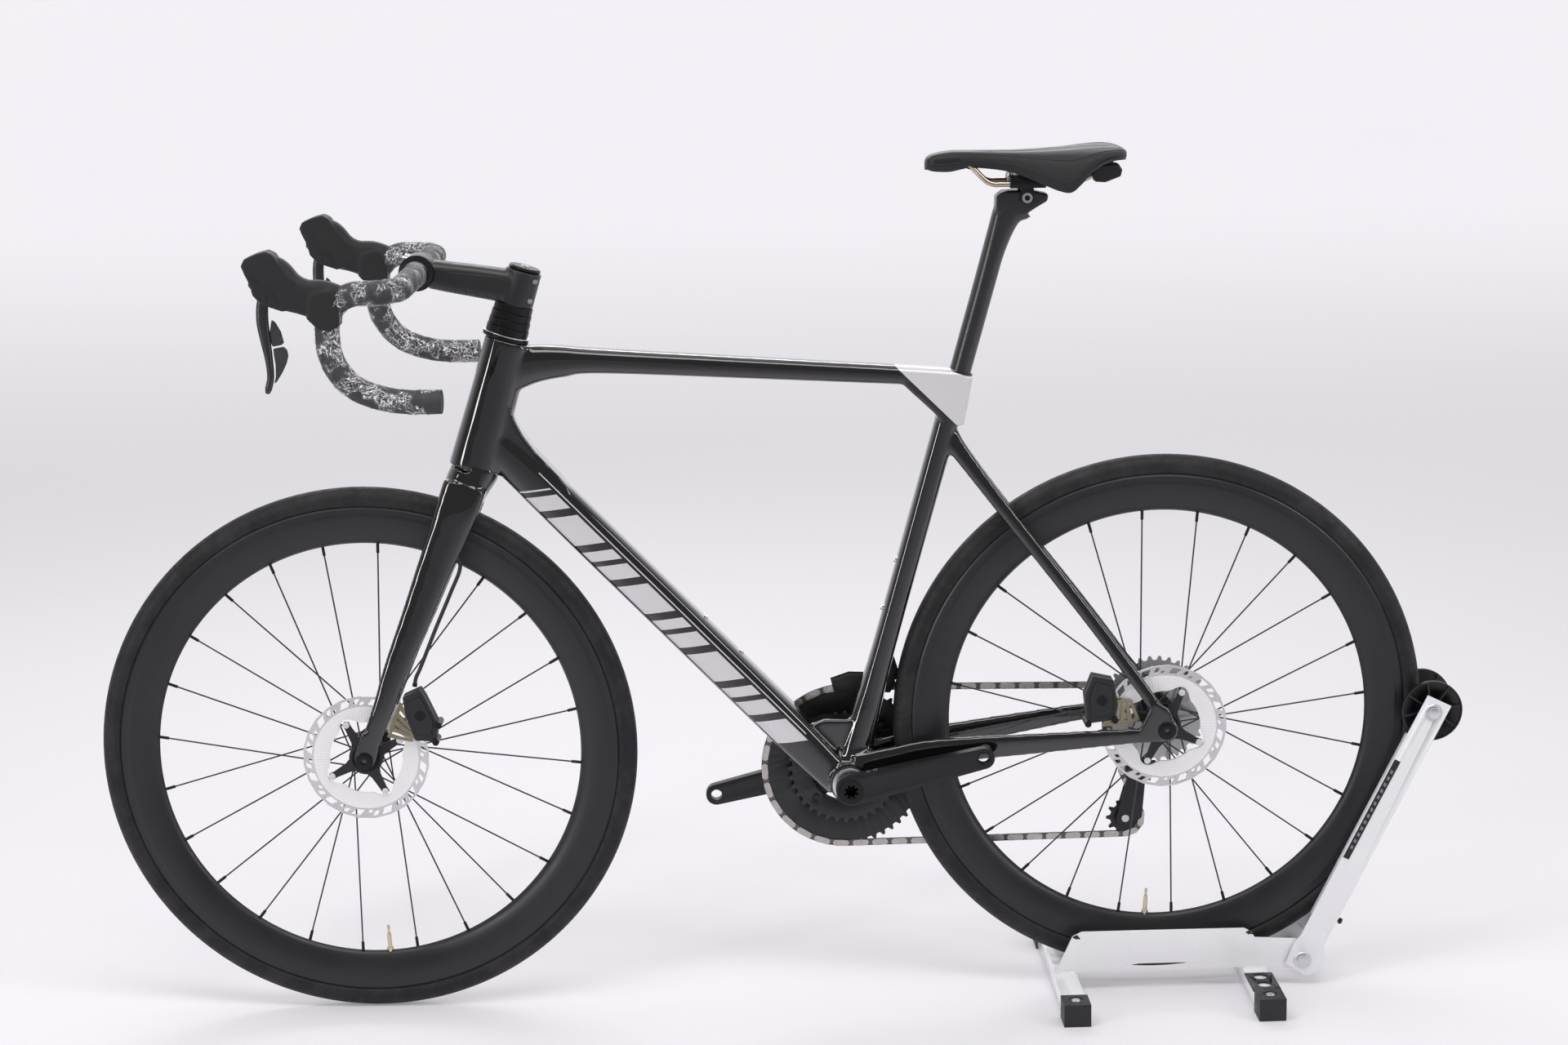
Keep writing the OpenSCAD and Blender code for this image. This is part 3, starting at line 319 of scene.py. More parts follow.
def build_mesh(name, parts, place=PLAIN, smooth=True):
    """One mesh in metres from parts of (points in mm, faces, material index)."""
    verts, faces, index = [], [], []
    for part in parts:
        points, polys = part[0], part[1]
        slot = part[2] if len(part) > 2 else 0
        first = len(verts)
        verts += [tuple((place @ Vector(p)) * MM) for p in points]
        faces += [tuple(first + i for i in f) for f in polys]
        index += [slot] * len(polys)
    me = bpy.data.meshes.new(name)
    me.from_pydata(verts, [], faces)
    me.update()
    me.polygons.foreach_set("material_index", index)
    bm = bmesh.new()
    bm.from_mesh(me)
    bmesh.ops.remove_doubles(bm, verts=bm.verts, dist=1e-7)
    bmesh.ops.recalc_face_normals(bm, faces=bm.faces)
    bm.to_mesh(me)
    bm.free()
    if smooth:
        me.polygons.foreach_set("use_smooth", [True] * len(me.polygons))
    return me


def piece(name, parts, mats, body, replaces=(), place=PLAIN, smooth=True, edge=None,
          bevel=0.0, segments=2):
    """A visible piece; edge is the angle above which an edge stays sharp, bevel its rounding in mm."""
    me = build_mesh(name, parts, place, smooth)
    for m in mats if isinstance(mats, (list, tuple)) else [mats]:
        me.materials.append(m)
    if edge:
        me.set_sharp_from_angle(angle=math.radians(edge))
    ob = add_object(name, me, body, replaces)
    if bevel:
        mod = ob.modifiers.new("edges", "BEVEL")
        mod.width = bevel * MM
        mod.segments = segments
        mod.limit_method = "ANGLE"
        mod.angle_limit = math.radians(32)
        mod.harden_normals = False
    return ob


def baked(ob):
    """Applies every modifier of an object to its mesh."""
    dg = bpy.context.evaluated_depsgraph_get()
    me = bpy.data.meshes.new_from_object(ob.evaluated_get(dg))
    ob.modifiers.clear()
    ob.data = me
    return ob


def ellipse_ring(c, tangent, deep, wide, power=2.0, count=48, side=None):
    """A closed ring of points round c; side is the direction of the wide axis."""
    t = Vector(tangent).normalized()
    side = Vector(side or (0, 1, 0))
    side = (side - side.dot(t) * t).normalized()
    up = side.cross(t).normalized()
    ring = []
    for i in range(count):
        a = 2 * math.pi * i / count
        ca, sa = math.cos(a), math.sin(a)
        x = math.copysign(abs(ca) ** (2 / power), ca) * deep / 2
        y = math.copysign(abs(sa) ** (2 / power), sa) * wide / 2
        ring.append(Vector(c) + up * x + side * y)
    return ring


def catmull(rows, per_span):
    """Smooth values through the given rows of numbers."""
    rows = [np.array(r, float) for r in rows]
    rows = [2 * rows[0] - rows[1]] + rows + [2 * rows[-1] - rows[-2]]
    out = []
    for i in range(1, len(rows) - 2):
        p0, p1, p2, p3 = rows[i - 1 : i + 3]
        for k in range(per_span):
            t = k / per_span
            out.append(0.5 * (2 * p1 + (p2 - p0) * t + (2 * p0 - 5 * p1 + 4 * p2 - p3) * t * t
                              + (3 * p1 - p0 - 3 * p2 + p3) * t ** 3))
    out.append(rows[-2])
    return out


def skin(rings, close=False, caps=True):
    """Faces between rings of equal length."""
    n = len(rings[0])
    points = [p for r in rings for p in r]
    faces = []
    last = len(rings) if close else len(rings) - 1
    for j in range(last):
        a, b = j * n, ((j + 1) % len(rings)) * n
        faces += [(a + i, a + (i + 1) % n, b + (i + 1) % n, b + i) for i in range(n)]
    if caps and not close:
        faces.append(tuple(range(n))[::-1])
        faces.append(tuple(range((len(rings) - 1) * n, len(rings) * n)))
    return points, faces


def tube(stations, per_span=6, count=48, side=None):
    """A loft through stations of (x, y, z, deep, wide, power)."""
    rows = catmull(stations, per_span) if per_span > 1 else [np.array(s, float) for s in stations]
    centres = [Vector(r[:3]) for r in rows]
    rings = []
    for i, r in enumerate(rows):
        t = centres[min(i + 1, len(rows) - 1)] - centres[max(i - 1, 0)]
        rings.append(ellipse_ring(centres[i], t, r[3], r[4], r[5], count, side))
    return skin(rings)


def pipe(path, radius, count=12, caps=True, close=False):
    """A round tube along a path of points; radius may be a number or one number for each point."""
    path = [Vector(p) for p in path]
    rings = []
    up = None
    for i, p in enumerate(path):
        if close:
            t = path[(i + 1) % len(path)] - path[i - 1]
        else:
            t = path[min(i + 1, len(path) - 1)] - path[max(i - 1, 0)]
        t = t.normalized()
        if up is None:
            up = Vector((0, 1, 0)) if abs(t.y) < 0.9 else Vector((1, 0, 0))
        up = (up - up.dot(t) * t).normalized()
        other = t.cross(up)
        r = radius[i] if isinstance(radius, (list, tuple)) else radius
        rings.append([p + up * (r * math.cos(2 * math.pi * k / count))
                      + other * (r * math.sin(2 * math.pi * k / count))
                      for k in range(count)])
    return skin(rings, close, caps)


def extrude(outline, y0, y1):
    """A plate across the bicycle from an outline of (x, z)."""
    n = len(outline)
    points = [(p[0], y0, p[1]) for p in outline] + [(p[0], y1, p[1]) for p in outline]
    faces = [tuple(range(n)), tuple(range(2 * n - 1, n - 1, -1))]
    faces += [(i, (i + 1) % n, n + (i + 1) % n, n + i) for i in range(n)]
    return points, faces


def lathe(c, profile, count=96, close=True):
    """A turned shape about an axle across the bicycle; the profile is (radius, y) pairs round a
    closed loop."""
    rings = []
    for i in range(count):
        a = 360.0 * i / count
        rings.append([polar(c, r, a, y) for r, y in profile])
    n = len(profile)
    points = [p for r in rings for p in r]
    faces = []
    span = n if close else n - 1
    for j in range(count):
        a, b = j * n, ((j + 1) % count) * n
        faces += [(a + i, a + (i + 1) % n, b + (i + 1) % n, b + i) for i in range(span)]
    return points, faces


def disc(c, y0, y1, r, count=32, inner=0.0):
    """A round plate or washer across the bicycle."""
    if inner:
        return lathe(c, [(inner, y0), (r, y0), (r, y1), (inner, y1)], count)
    rings = [[polar(c, r, 360.0 * i / count, y) for i in range(count)] for y in (y0, y1)]
    return skin(rings)


def moved(part, matrix):
    return [matrix @ Vector(p) for p in part[0]], part[1], *part[2:]


def mirrored(part):
    return [Vector((p[0], -p[1], p[2])) for p in part[0]], [f[::-1] for f in part[1]], *part[2:]


def fused(name, parts, voxel, rounds, mats, body, replaces, place=PLAIN, subdivide=False):
    """Parts melted into one smooth moulding, with soft fillets where they meet."""
    ob = piece(name, parts, mats, body, replaces, place)
    m = ob.modifiers.new("melt", "REMESH")
    m.mode = "VOXEL"
    m.voxel_size = voxel * MM
    m.use_smooth_shade = True
    s = ob.modifiers.new("soften", "SMOOTH")
    s.factor = 0.5
    s.iterations = rounds
    if subdivide:
        d = ob.modifiers.new("finer", "SUBSURF")
        d.levels = d.render_levels = 1
    return baked(ob)


# ---- frame and fork: smooth carbon mouldings ----
def station(p, deep, wide, power):
    return (*p, deep, wide, power)


def frame_parts():
    back = Vector((4, 0, 0))
    parts = [
        tube([station(on_steerer(386.4) - back, 65, 56, 2.4),
              station(on_steerer(430) - back, 63, 52, 2.4),
              station(on_steerer(495) - back, 60, 48, 2.4), station(on_steerer(555.7) - back, 60, 48,
                  2.3)]),
        tube([(412, 0, 826, 56, 37, 2.6), (385, 0, 832, 48, 38, 2.8), (350, 0, 834.5, 40, 38, 3.0),
              (300, 0, 834, 31, 38, 3.2), (100, 0, 820.5, 27, 36, 3.2), (-60, 0, 809.5, 24.5, 34, 3.2),
              (-146, 0, 803.5, 22, 33, 2.8)]),
        tube([station(on_down_tube(4), 50, 60, 2.6), station(on_down_tube(120), 53, 56, 3.4),
              station(on_down_tube(330), 53, 48, 3.8), station(on_down_tube(480), 53, 46, 3.6),
              station(on_down_tube(585), 51, 44, 3.0), station(on_down_tube(628), 46, 42, 2.6)], 8),
        tube([station(on_seat_tube(14), 46, 52, 2.6), station(on_seat_tube(80), 38, 44, 2.6),
              station(on_seat_tube(170), 29.5, 36, 2.8), station(on_seat_tube(400), 29.5, 34, 2.8),
              station(on_seat_tube(541.6), 31, 34, 2.4)]),
        extrude([(-73, 798), (-111.5, 761), (-128, 742), (-150, 745), (-161, 805), (-100, 811)], -16.3,
                16.3),
        extrude([(418, 790), (409, 762), (400, 744), (385, 722.5), (368, 703.5), (356, 690.3),
                 (344, 675), (385, 680),
                 (432, 720)], -19, 19),
        disc(BB, -34, 34, 25.2, 48),
        extrude([(16, 330), (34, 318), (70, 352), (30, 368), (-22, 366), (-30, 330)], -17, 17),
    ]
    for side in (-1, 1):
        parts.append(tube([(-131, side * 6, 731, 27, 15, 2.4), (-148, side * 13, 706, 22, 14, 2.4),
                           (-200, side * 27, 636, 18.5, 13, 2.4), (-300, side * 47, 506, 17.5, 12, 2.4),
                           (-358, side * 65, 427, 17, 10.5, 2.4), (-389, side * 75, 383, 17, 8, 2.4)]))
        parts.append(tube([(-10, side * 23, 303, 42, 18, 2.6), (-60, side * 27, 316, 37, 14, 2.8),
                           (-110, side * 29.7, 326, 34, 12.5, 2.8),
                           (-240, side * 52.5, 340, 27, 10.5, 2.8),
                           (-374, side * 75, 353.5, 19, 8, 2.6)]))
        y0, y1 = (71.3, 78.8) if side > 0 else (-78.8, -71.3)
        parts.append(disc(REAR, y0, y1, 15, 40))
        parts.append(extrude([(-364, 343), (-364, 362), (-382, 398), (-401, 388), (-413, 360),
                              (-405, 346),
                              (-392, 345)], y0, y1))
    return parts


fused("frame_moulding", frame_parts(), 2.3, 9, frame_black, "frame",
      ("head_tube", "top_tube", "down_tube", "seat_tube", "seat_stays", "chain_stays"))


def fork_parts():
    parts = [tube([station(on_steerer(385.0) - Vector((3, 0, 0)), 63, 55, 2.4),
                   (462, 0, 700, 61, 58, 2.4),
                   (471, 0, 684, 58, 68, 2.6), (478, 0, 668, 54, 78, 3.2)])]
    for side in (-1, 1):
        parts.append(tube([(473, side * 25, 684, 55, 22, 2.4), (483, side * 31, 655, 54, 20, 2.5),
                           (497, side * 34, 620, 49, 18, 2.5), (514, side * 37, 580, 44, 16.5, 2.5),
                           (538, side * 43, 520, 38, 14, 2.4), (563, side * 49, 460, 32, 12, 2.4),
                           (583, side * 53, 405, 27, 10, 2.4), (598, side * 54, 366, 25, 8, 2.4)]))
        y0, y1 = (50.3, 57.8) if side > 0 else (-57.8, -50.3)
        parts.append(disc(FRONT, y0, y1, 12.5, 40))
        parts.append(extrude([(585, 374), (610, 376), (620, 346), (600, 333), (594, 340)], y0, y1))
    return parts


fused("fork_moulding", fork_parts(), 2.2, 8, fork_black, "fork", ("fork",), STEERED)
for cap_name, place_at, body_name, where_y in (("front_axle_port", FRONT, "fork", 58),
                                               ("rear_axle_port", REAR, "frame", 79)):
    place_now = STEERED if body_name == "fork" else PLAIN
    piece(cap_name, [lathe(place_at, [(6.2, where_y), (11, where_y), (11.6, where_y + 0.5),
                                      (11, where_y + 1.0),
                                      (9.4, where_y + 1.2), (6.2, where_y + 1.0)], 48)],
          black_alloy, body_name, place=place_now, edge=40)

# Seat collar ring on the frame
seat_collar = Matrix.Translation(on_seat_tube(541.2)) @ Matrix.Rotation(SEAT - math.pi / 2, 4, "Y")
collar_rings = []
for r, h in ((14.2, 0.0), (16.2, 0.2), (16.4, 1.6), (15.6, 2.2), (14.2, 2.0)):
    collar_rings.append([seat_collar @ Vector((r * math.cos(math.tau * i / 64),
                                               r * math.sin(math.tau * i / 64) * 0.98, h))
                         for i in range(64)])
piece("seat_collar_ring", [skin(collar_rings, close=True)], satin_black, "frame",
      edge=50)


def boss_ring(origin, direction):
    """A bottle cage bolt with a socket, seated in its insert."""
    d = Vector(direction).normalized()
    turn = Vector((0, 0, 1)).rotation_difference(d).to_matrix().to_4x4()
    place = Matrix.Translation(origin) @ turn
    profile = [(1.6, -1.0), (1.6, 1.8), (2.2, 2.6), (3.6, 2.4), (4.3, 1.4), (4.5, 0.0), (4.4, -1.0)]
    rings = [[place @ Vector((r * math.cos(math.tau * i / 24), r * math.sin(math.tau * i / 24), h))
              for i in range(24)]
             for r, h in profile]
    return skin(rings, caps=True)


bolts = [boss_ring(on_down_tube(s, 26.5), DOWN_UP) for s in (214.5, 278.5)]
bolts += [boss_ring(on_seat_tube(s, 15.2), SEAT_FRONT) for s in (226.8, 290.8)]
piece("cage_bolts", bolts, alloy, "frame", edge=40)


# ---- wheels ----
BEAD_R, RIM_IN = 316.0, 268.0


def rim_profile():
    """Deep rounded section with a shallow step below the tyre."""
    out = []
    for i in range(23):
        t = i / 22
        r = RIM_IN + (BEAD_R - RIM_IN) * t
        w = 13.8 * (1 - (1 - t) ** 2.4) ** 0.62
        if 0.78 < t:
            w -= 0.55 * min(1.0, (t - 0.78) / 0.03)
        if t > 0.94:
            w -= 1.4 * ((t - 0.94) / 0.06) ** 2
        out.append((r, w))
    left = out[::-1]
    right = [(r, -w) for r, w in out[1:]]
    return left + right + [(BEAD_R, -10.6), (313, -10.2), (312, 0), (313, 10.2), (BEAD_R, 10.6)]


def tyre_parts(c, seed):
    """Round tyre with a bead lip and slanted sipes on the shoulders."""
    around, across = 1440, 44
    rnd = random.Random(seed)
    lengths = [rnd.uniform(0.75, 1.1) for _ in range(240)]
    points, faces = [], []
    for i in range(around):
        theta = 360.0 * i / around
        for k in range(across):
            phi = -2.36 + 4.72 * k / (across - 1)
            r = 15.0
            lean = abs(phi)
            if 0.62 < lean < 1.22:
                pitch_at = theta / 1.5 + (lean - 0.9) * 1.6
                cell = int(math.floor(pitch_at)) % 240
                across_groove = abs(pitch_at - math.floor(pitch_at) - 0.5)
                group = (cell // 5) % 3 != 2
                if group and across_groove < 0.2 and abs(lean - 0.92) < 0.26 * lengths[cell]:
                    r -= 0.45
            if lean > 2.0:
                r -= 1.2 * (lean - 2.0) / 0.36
            if 1.68 < lean < 1.74:
                r += 0.22
            points.append(polar(c, 325 + r * math.cos(phi), theta, r * math.sin(phi)))
        # inner face of the casing
        for k in range(9):
            phi = 2.36 - 4.72 * k / 8
            points.append(polar(c, 325 + 11.5 * math.cos(phi), theta, 11.5 * math.sin(phi)))
    n = across + 9
    for i in range(around):
        a, b = i * n, ((i + 1) % around) * n
        faces += [(a + k, a + (k + 1) % n, b + (k + 1) % n, b + k) for k in range(n)]
    return points, faces


def spoke_parts(c, valve, flange_l, flange_r, flange_rad):
    parts = []
    for i in range(12):
        for side in (-1, 1):
            rim_a = valve + 7.5 + i * 30 + (0 if side > 0 else 15)
            lean = 62 if i % 2 == 0 else -62
            fy = (flange_l if side > 0 else -flange_r) + (1.1 if i % 2 == 0 else -1.1)
            a = polar(c, flange_rad, rim_a + lean, fy)
            b = polar(c, RIM_IN + 1.0, rim_a, side * 1.5)
            d = (b - a).normalized()
            outward = Vector((0, -1.1 if i % 2 == 0 else 1.1, 0))
            parts.append((*pipe([a + outward * 2.4, a + outward, a + d * 2.5, a + d * 12, b - d * 14,
                                 b], 1.0, 10), 0))
            parts.append((*pipe([b - d * 13, b - d * 12.4, b - d * 2, b + d], [1.3, 2.0, 2.0, 2.0], 8),
                          1))
            head = a + outward * 2.6
            parts.append((*pipe([head, head + outward * 0.8], 1.9, 10), 0))
    return parts


def valve_parts(c, angle):
    spot = [polar(c, r, angle) for r in (RIM_IN + 4, RIM_IN - 1, RIM_IN - 1.01, RIM_IN - 4,
                                         RIM_IN - 4.01, RIM_IN - 20,
                                        RIM_IN - 24, RIM_IN - 24.01, RIM_IN - 26, RIM_IN - 30,
                                        RIM_IN - 33)]
    return [pipe(spot, [3.0, 3.0, 4.4, 4.4, 2.8, 2.8, 2.1, 1.2, 1.2, 2.3, 1.6], 20)]


def perforated(c, y0, y1, radii, mask, turns, skew=0.0):
    """A flat ring with windows: mask(i, j) keeps a cell of the polar grid; skew slants the radial lines."""
    nr = len(radii)
    points, faces = [], []
    index = {}

    def vertex(i, j, back):
        key = (i % turns, j, back)
        if key not in index:
            index[key] = len(points)
            angle = 360.0 * (i % turns) / turns
            r = radii[j](angle) if callable(radii[j]) else radii[j]
            points.append(polar(c, r, angle + skew * (r - 66), y1 if back else y0))
        return index[key]

    for i in range(turns):
        for j in range(nr - 1):
            if not mask(i, j):
                continue
            for back in (0, 1):
                faces.append([vertex(i, j, back), vertex(i + 1, j, back), vertex(i + 1, j + 1, back),
                              vertex(i, j + 1, back)])
            if j == 0 or not mask(i, j - 1):
                faces.append([vertex(i, j, 0), vertex(i + 1, j, 0), vertex(i + 1, j, 1),
                              vertex(i, j, 1)])
            if j == nr - 2 or not mask(i, j + 1):
                faces.append([vertex(i, j + 1, 0), vertex(i + 1, j + 1, 0), vertex(i + 1, j + 1, 1),
                              vertex(i, j + 1, 1)])
            if not mask((i - 1) % turns, j):
                faces.append([vertex(i, j, 0), vertex(i, j + 1, 0), vertex(i, j + 1, 1),
                              vertex(i, j, 1)])
            if not mask((i + 1) % turns, j):
                faces.append([vertex(i + 1, j, 0), vertex(i + 1, j + 1, 0), vertex(i + 1, j + 1, 1),
                              vertex(i + 1, j, 1)])
    return points, faces


def rotor_pieces(tag, c, y, phase, steel_mat, body, place):
    """Braking ring with windows, a bright finned carrier and a dark four-armed spider."""
    turns = 480

    def window(i, j):
        a = i % 40
        big = 3 <= a < 15 and 2 <= j <= 5
        small = 21 <= a < 27 and 3 <= j <= 5
        slit = 31 <= a < 36 and 2 <= j <= 3
        return not (big or small or slit)

    outer = lambda a: 79.7 - 0.7 * abs(math.sin(math.radians((a - phase) * 12)))
    ring = perforated(c, y - 0.9, y + 0.9, [65.5, 67, 68.5, 70.5, 72.5, 74.5, 76.5, 78, outer], window,
                      turns, 0.55)
    piece(tag + "_rotor", [ring], steel_mat, body, (tag + "_rotor",), place, edge=40)

    def inner(a):
        near = ((a - phase + 45) % 90) - 45
        return 46 + 9.5 * max(0.0, math.cos(math.radians(near * 4))) ** 2

    fin_ring = perforated(c, y - 1.5, y + 1.5, [inner, 57.5, 60, 63, 66.3], lambda i, j: True, 240)
    fins = []
    for i in range(96):
        a = 3.75 * i
        r0 = inner(a) + 1.0
        p, q = polar(c, r0, a, 0), polar(c, 64.5, a, 0)
        side = Vector((-math.sin(math.radians(a)), 0, math.cos(math.radians(a)))) * 0.35
        for yy in (y - 2.1, y + 1.4):
            fins.append(skin([[p - side + Vector((0, yy, 0)), p + side + Vector((0, yy, 0)),
                               p + side + Vector((0, yy + 0.7, 0)),
                               p - side + Vector((0, yy + 0.7, 0))],
                              [q - side + Vector((0, yy, 0)), q + side + Vector((0, yy, 0)),
                               q + side + Vector((0, yy + 0.7, 0)),
                               q - side + Vector((0, yy + 0.7, 0))]]))
    piece(tag + "_rotor_fins", [fin_ring] + fins, white_alloy, body, (), place, edge=40)
    arms = [lathe(c, [(17.6, y + 1.8), (21, y + 1.8), (21.5, y + 2.4), (21, y + 4.2), (17.6, y + 4.6)],
                  64)]
    lock = [lathe(c, [(10.5, y + 3.4), (17.2, y + 3.4), (17.4, y + 5.2), (16.6, y + 5.5),
                      (11.5, y + 5.5), (10.5, y + 5.0)], 64)]
    for i in range(16):
        a = i * 22.5
        lock.append(moved(extrude([(11.0, -1.1), (13.6, -1.1), (13.6, 1.1), (11.0, 1.1)], y + 5.2,
                                  y + 6.2),
                          Matrix.Translation(c) @ Matrix.Rotation(-math.radians(a), 4, "Y")))
    rivets = []
    for i in range(4):
        a = phase + i * 90
        turn = Matrix.Translation(c) @ Matrix.Rotation(-math.radians(a), 4, "Y")
        arms.append(moved(extrude([(18, -9.5), (26, -6.2), (44, -4.2), (51, -4.6), (54, 0), (51, 4.6),
                                   (44, 4.2), (26, 6.2),
                                   (18, 9.5)], y + 1.7, y + 4.5), turn))
        rivets.append(disc(polar(c, 49, a), y + 1.7, y + 5.4, 4.2, 24))
        rivets.append(disc(polar(c, 49, a), y + 5.2, y + 5.7, 2.2, 16))
    piece(tag + "_rotor_spider", arms, panel_black, body, (), place, edge=35, bevel=0.5)
    piece(tag + "_rotor_rivets", rivets, alloy, body, (), place, edge=35, bevel=0.3)
    piece(tag + "_rotor_lock", lock, black_alloy, body, (), place, edge=35, bevel=0.25)


for tag, c, valve_a, flanges, rotor_y, phase, rotor_mat, place in (
    ("front", FRONT, 266.8, (27, 36, 19), 38.7, 62, rotor_front_mat, STEERED),
    ("rear", REAR, 272.9, (32, 16, 21), 55.5, 26, rotor_rear_mat, PLAIN),
):
    wheel = tag + "_wheel"
    piece(tag + "_tyre", [tyre_parts(c, len(tag))], tyre_mat, wheel, (tag + "_tyre",), place,
          edge=50)
    piece(tag + "_rim", [lathe(c, rim_profile(), 240)], rim_mat, wheel, (tag + "_rim",),
          place, edge=28)
    piece(tag + "_spokes", spoke_parts(c, valve_a, *flanges), [satin_black, black_alloy], wheel,
          (tag + "_spokes",), place, edge=60)
    piece(tag + "_valve", valve_parts(c, valve_a), valve_brass, wheel, (tag + "_valve",),
          place, edge=40)
    rotor_pieces(tag, c, rotor_y, phase, rotor_mat, wheel, place)


# ---- chain ----
PITCH = 12.7


def pitch_r(teeth):
    return PITCH / (2 * math.sin(math.pi / teeth))


RING_Y, COG_Y = -47.5, -62.7
GUIDE = REAR + Vector((14, 0, -89))
TENSION = REAR + Vector((31, 0, -157))
ROUTE = [(BB, pitch_r(52), 1, RING_Y), (REAR, pitch_r(11), 1, COG_Y),
         (GUIDE, pitch_r(11), -1, COG_Y), (TENSION, pitch_r(11), 1, COG_Y)]


def chain_path():
    """Points every half millimetre along the chain's closed route, with whether each lies on a wheel."""
    leaves = []
    for i in range(4):
        (c0, r0, t0, _), (c1, r1, t1, _) = ROUTE[i], ROUTE[(i + 1) % 4]
        d = c1 - c0
        d.y = 0
        leaves.append(math.atan2(d.z, d.x) + math.asin((t0 * r0 - t1 * r1) / d.length))
    points = []
    for i in range(4):
        c, r, turn, y = ROUTE[i]
        start, end = leaves[i - 1] - turn * math.pi / 2, leaves[i] - turn * math.pi / 2
        sweep = (end - start) * turn % math.tau
        steps = max(2, int(sweep * r / 0.5))
        for k in range(steps):
            a = start + turn * sweep * k / steps
            points.append((Vector((c.x + r * math.cos(a), y, c.z + r * math.sin(a))), True))
        c2, r2, turn2, y2 = ROUTE[(i + 1) % 4]
        p = Vector((c.x + r * math.cos(end), y, c.z + r * math.sin(end)))
        a2 = leaves[i] - turn2 * math.pi / 2
        q = Vector((c2.x + r2 * math.cos(a2), y2, c2.z + r2 * math.sin(a2)))
        steps = max(2, int((q - p).length / 0.5))
        points += [(p.lerp(q, k / steps), False) for k in range(steps)]
    return points


def chain_parts():
    path = chain_path()
    spots = [p for p, _ in path]
    on_wheel = [w for _, w in path]
    run = [0.0]
    for a, b in zip(spots, spots[1:] + spots[:1]):
        run.append(run[-1] + (b - a).length)
    total = run[-1]
    count = 2 * round(total / PITCH / 2)
    pins = []
    k = 0
    for i in range(count):
        want = total * i / count
        while run[k + 1] < want:
            k += 1
        pins.append((spots[k % len(spots)], on_wheel[k % len(spots)]))
    parts = []
    for i in range(count):
        (a, wheel_a), (b, _) = pins[i], pins[(i + 1) % count]
        d = b - a
        length = d.length
        x = d.normalized()
        side = Vector((0, 1, 0))
        up = side.cross(x).normalized()
        side = x.cross(up)
        outer = i % 2 == 0
        outline = []
        for k in range(24):
            t = math.tau * k / 24
            cx = length / 2 + math.copysign(length / 2, math.cos(t))
            outline.append((cx + 4.1 * math.cos(t), 4.1 * math.sin(t)))
        pinched = [(u, v * (0.74 if 3.4 < u < length - 3.4 else 1.0)) for u, v in outline]
        waist = []
        for u, v in pinched:
            waist.append((u, v))
        waist.insert(6, (length / 2, 2.9))
        waist.insert(19, (length / 2, -2.9))
        y_in, y_out = (1.85, 2.45) if outer else (1.2, 1.8)
        for s in (-1, 1):
            rings = [[a + x * u + up * v + side * (s * yy) for u, v in waist] for yy in (y_in, y_out)]
            parts.append((*skin(rings), 0 if outer else 1))
        pin = [[a + up * (1.7 * math.sin(math.tau * k / 12)) + x * (1.7 * math.cos(math.tau * k / 12))
                + side * yy
                for k in range(12)] for yy in (-2.6, 2.6)]
        parts.append((*skin(pin), 0))
        if not wheel_a:
            roll = [[a + up * (3.6 * math.sin(math.tau * k / 14))
                     + x * (3.6 * math.cos(math.tau * k / 14)) + side * yy
                     for k in range(14)] for yy in (-1.15, 1.15)]
            parts.append((*skin(roll), 1))
    return parts


piece("chain_links", chain_parts(), [chain_steel, chain_inner], "frame", ("chain",),
      edge=40)


# ---- brakes, derailleurs and cranks ----
def dress(node, mat, bevel=0.0, segments=2, angle=30, edge=38):
    """Gives a carried-over CAD node its finish and rounds its edges."""
    ob = nodes[node]
    ob.data.materials.clear()
    ob.data.materials.append(mat)
    for p in ob.data.polygons:
        p.material_index = 0
        p.use_smooth = True
    ob.data.set_sharp_from_angle(angle=math.radians(edge))
    if bevel:
        weld = ob.modifiers.new("weld", "WELD")
        weld.merge_threshold = 0.00001
        mod = ob.modifiers.new("edges", "BEVEL")
        mod.width = bevel * MM
        mod.segments = segments
        mod.limit_method = "ANGLE"
        mod.angle_limit = math.radians(angle)
        mod.use_clamp_overlap = True
    return ob


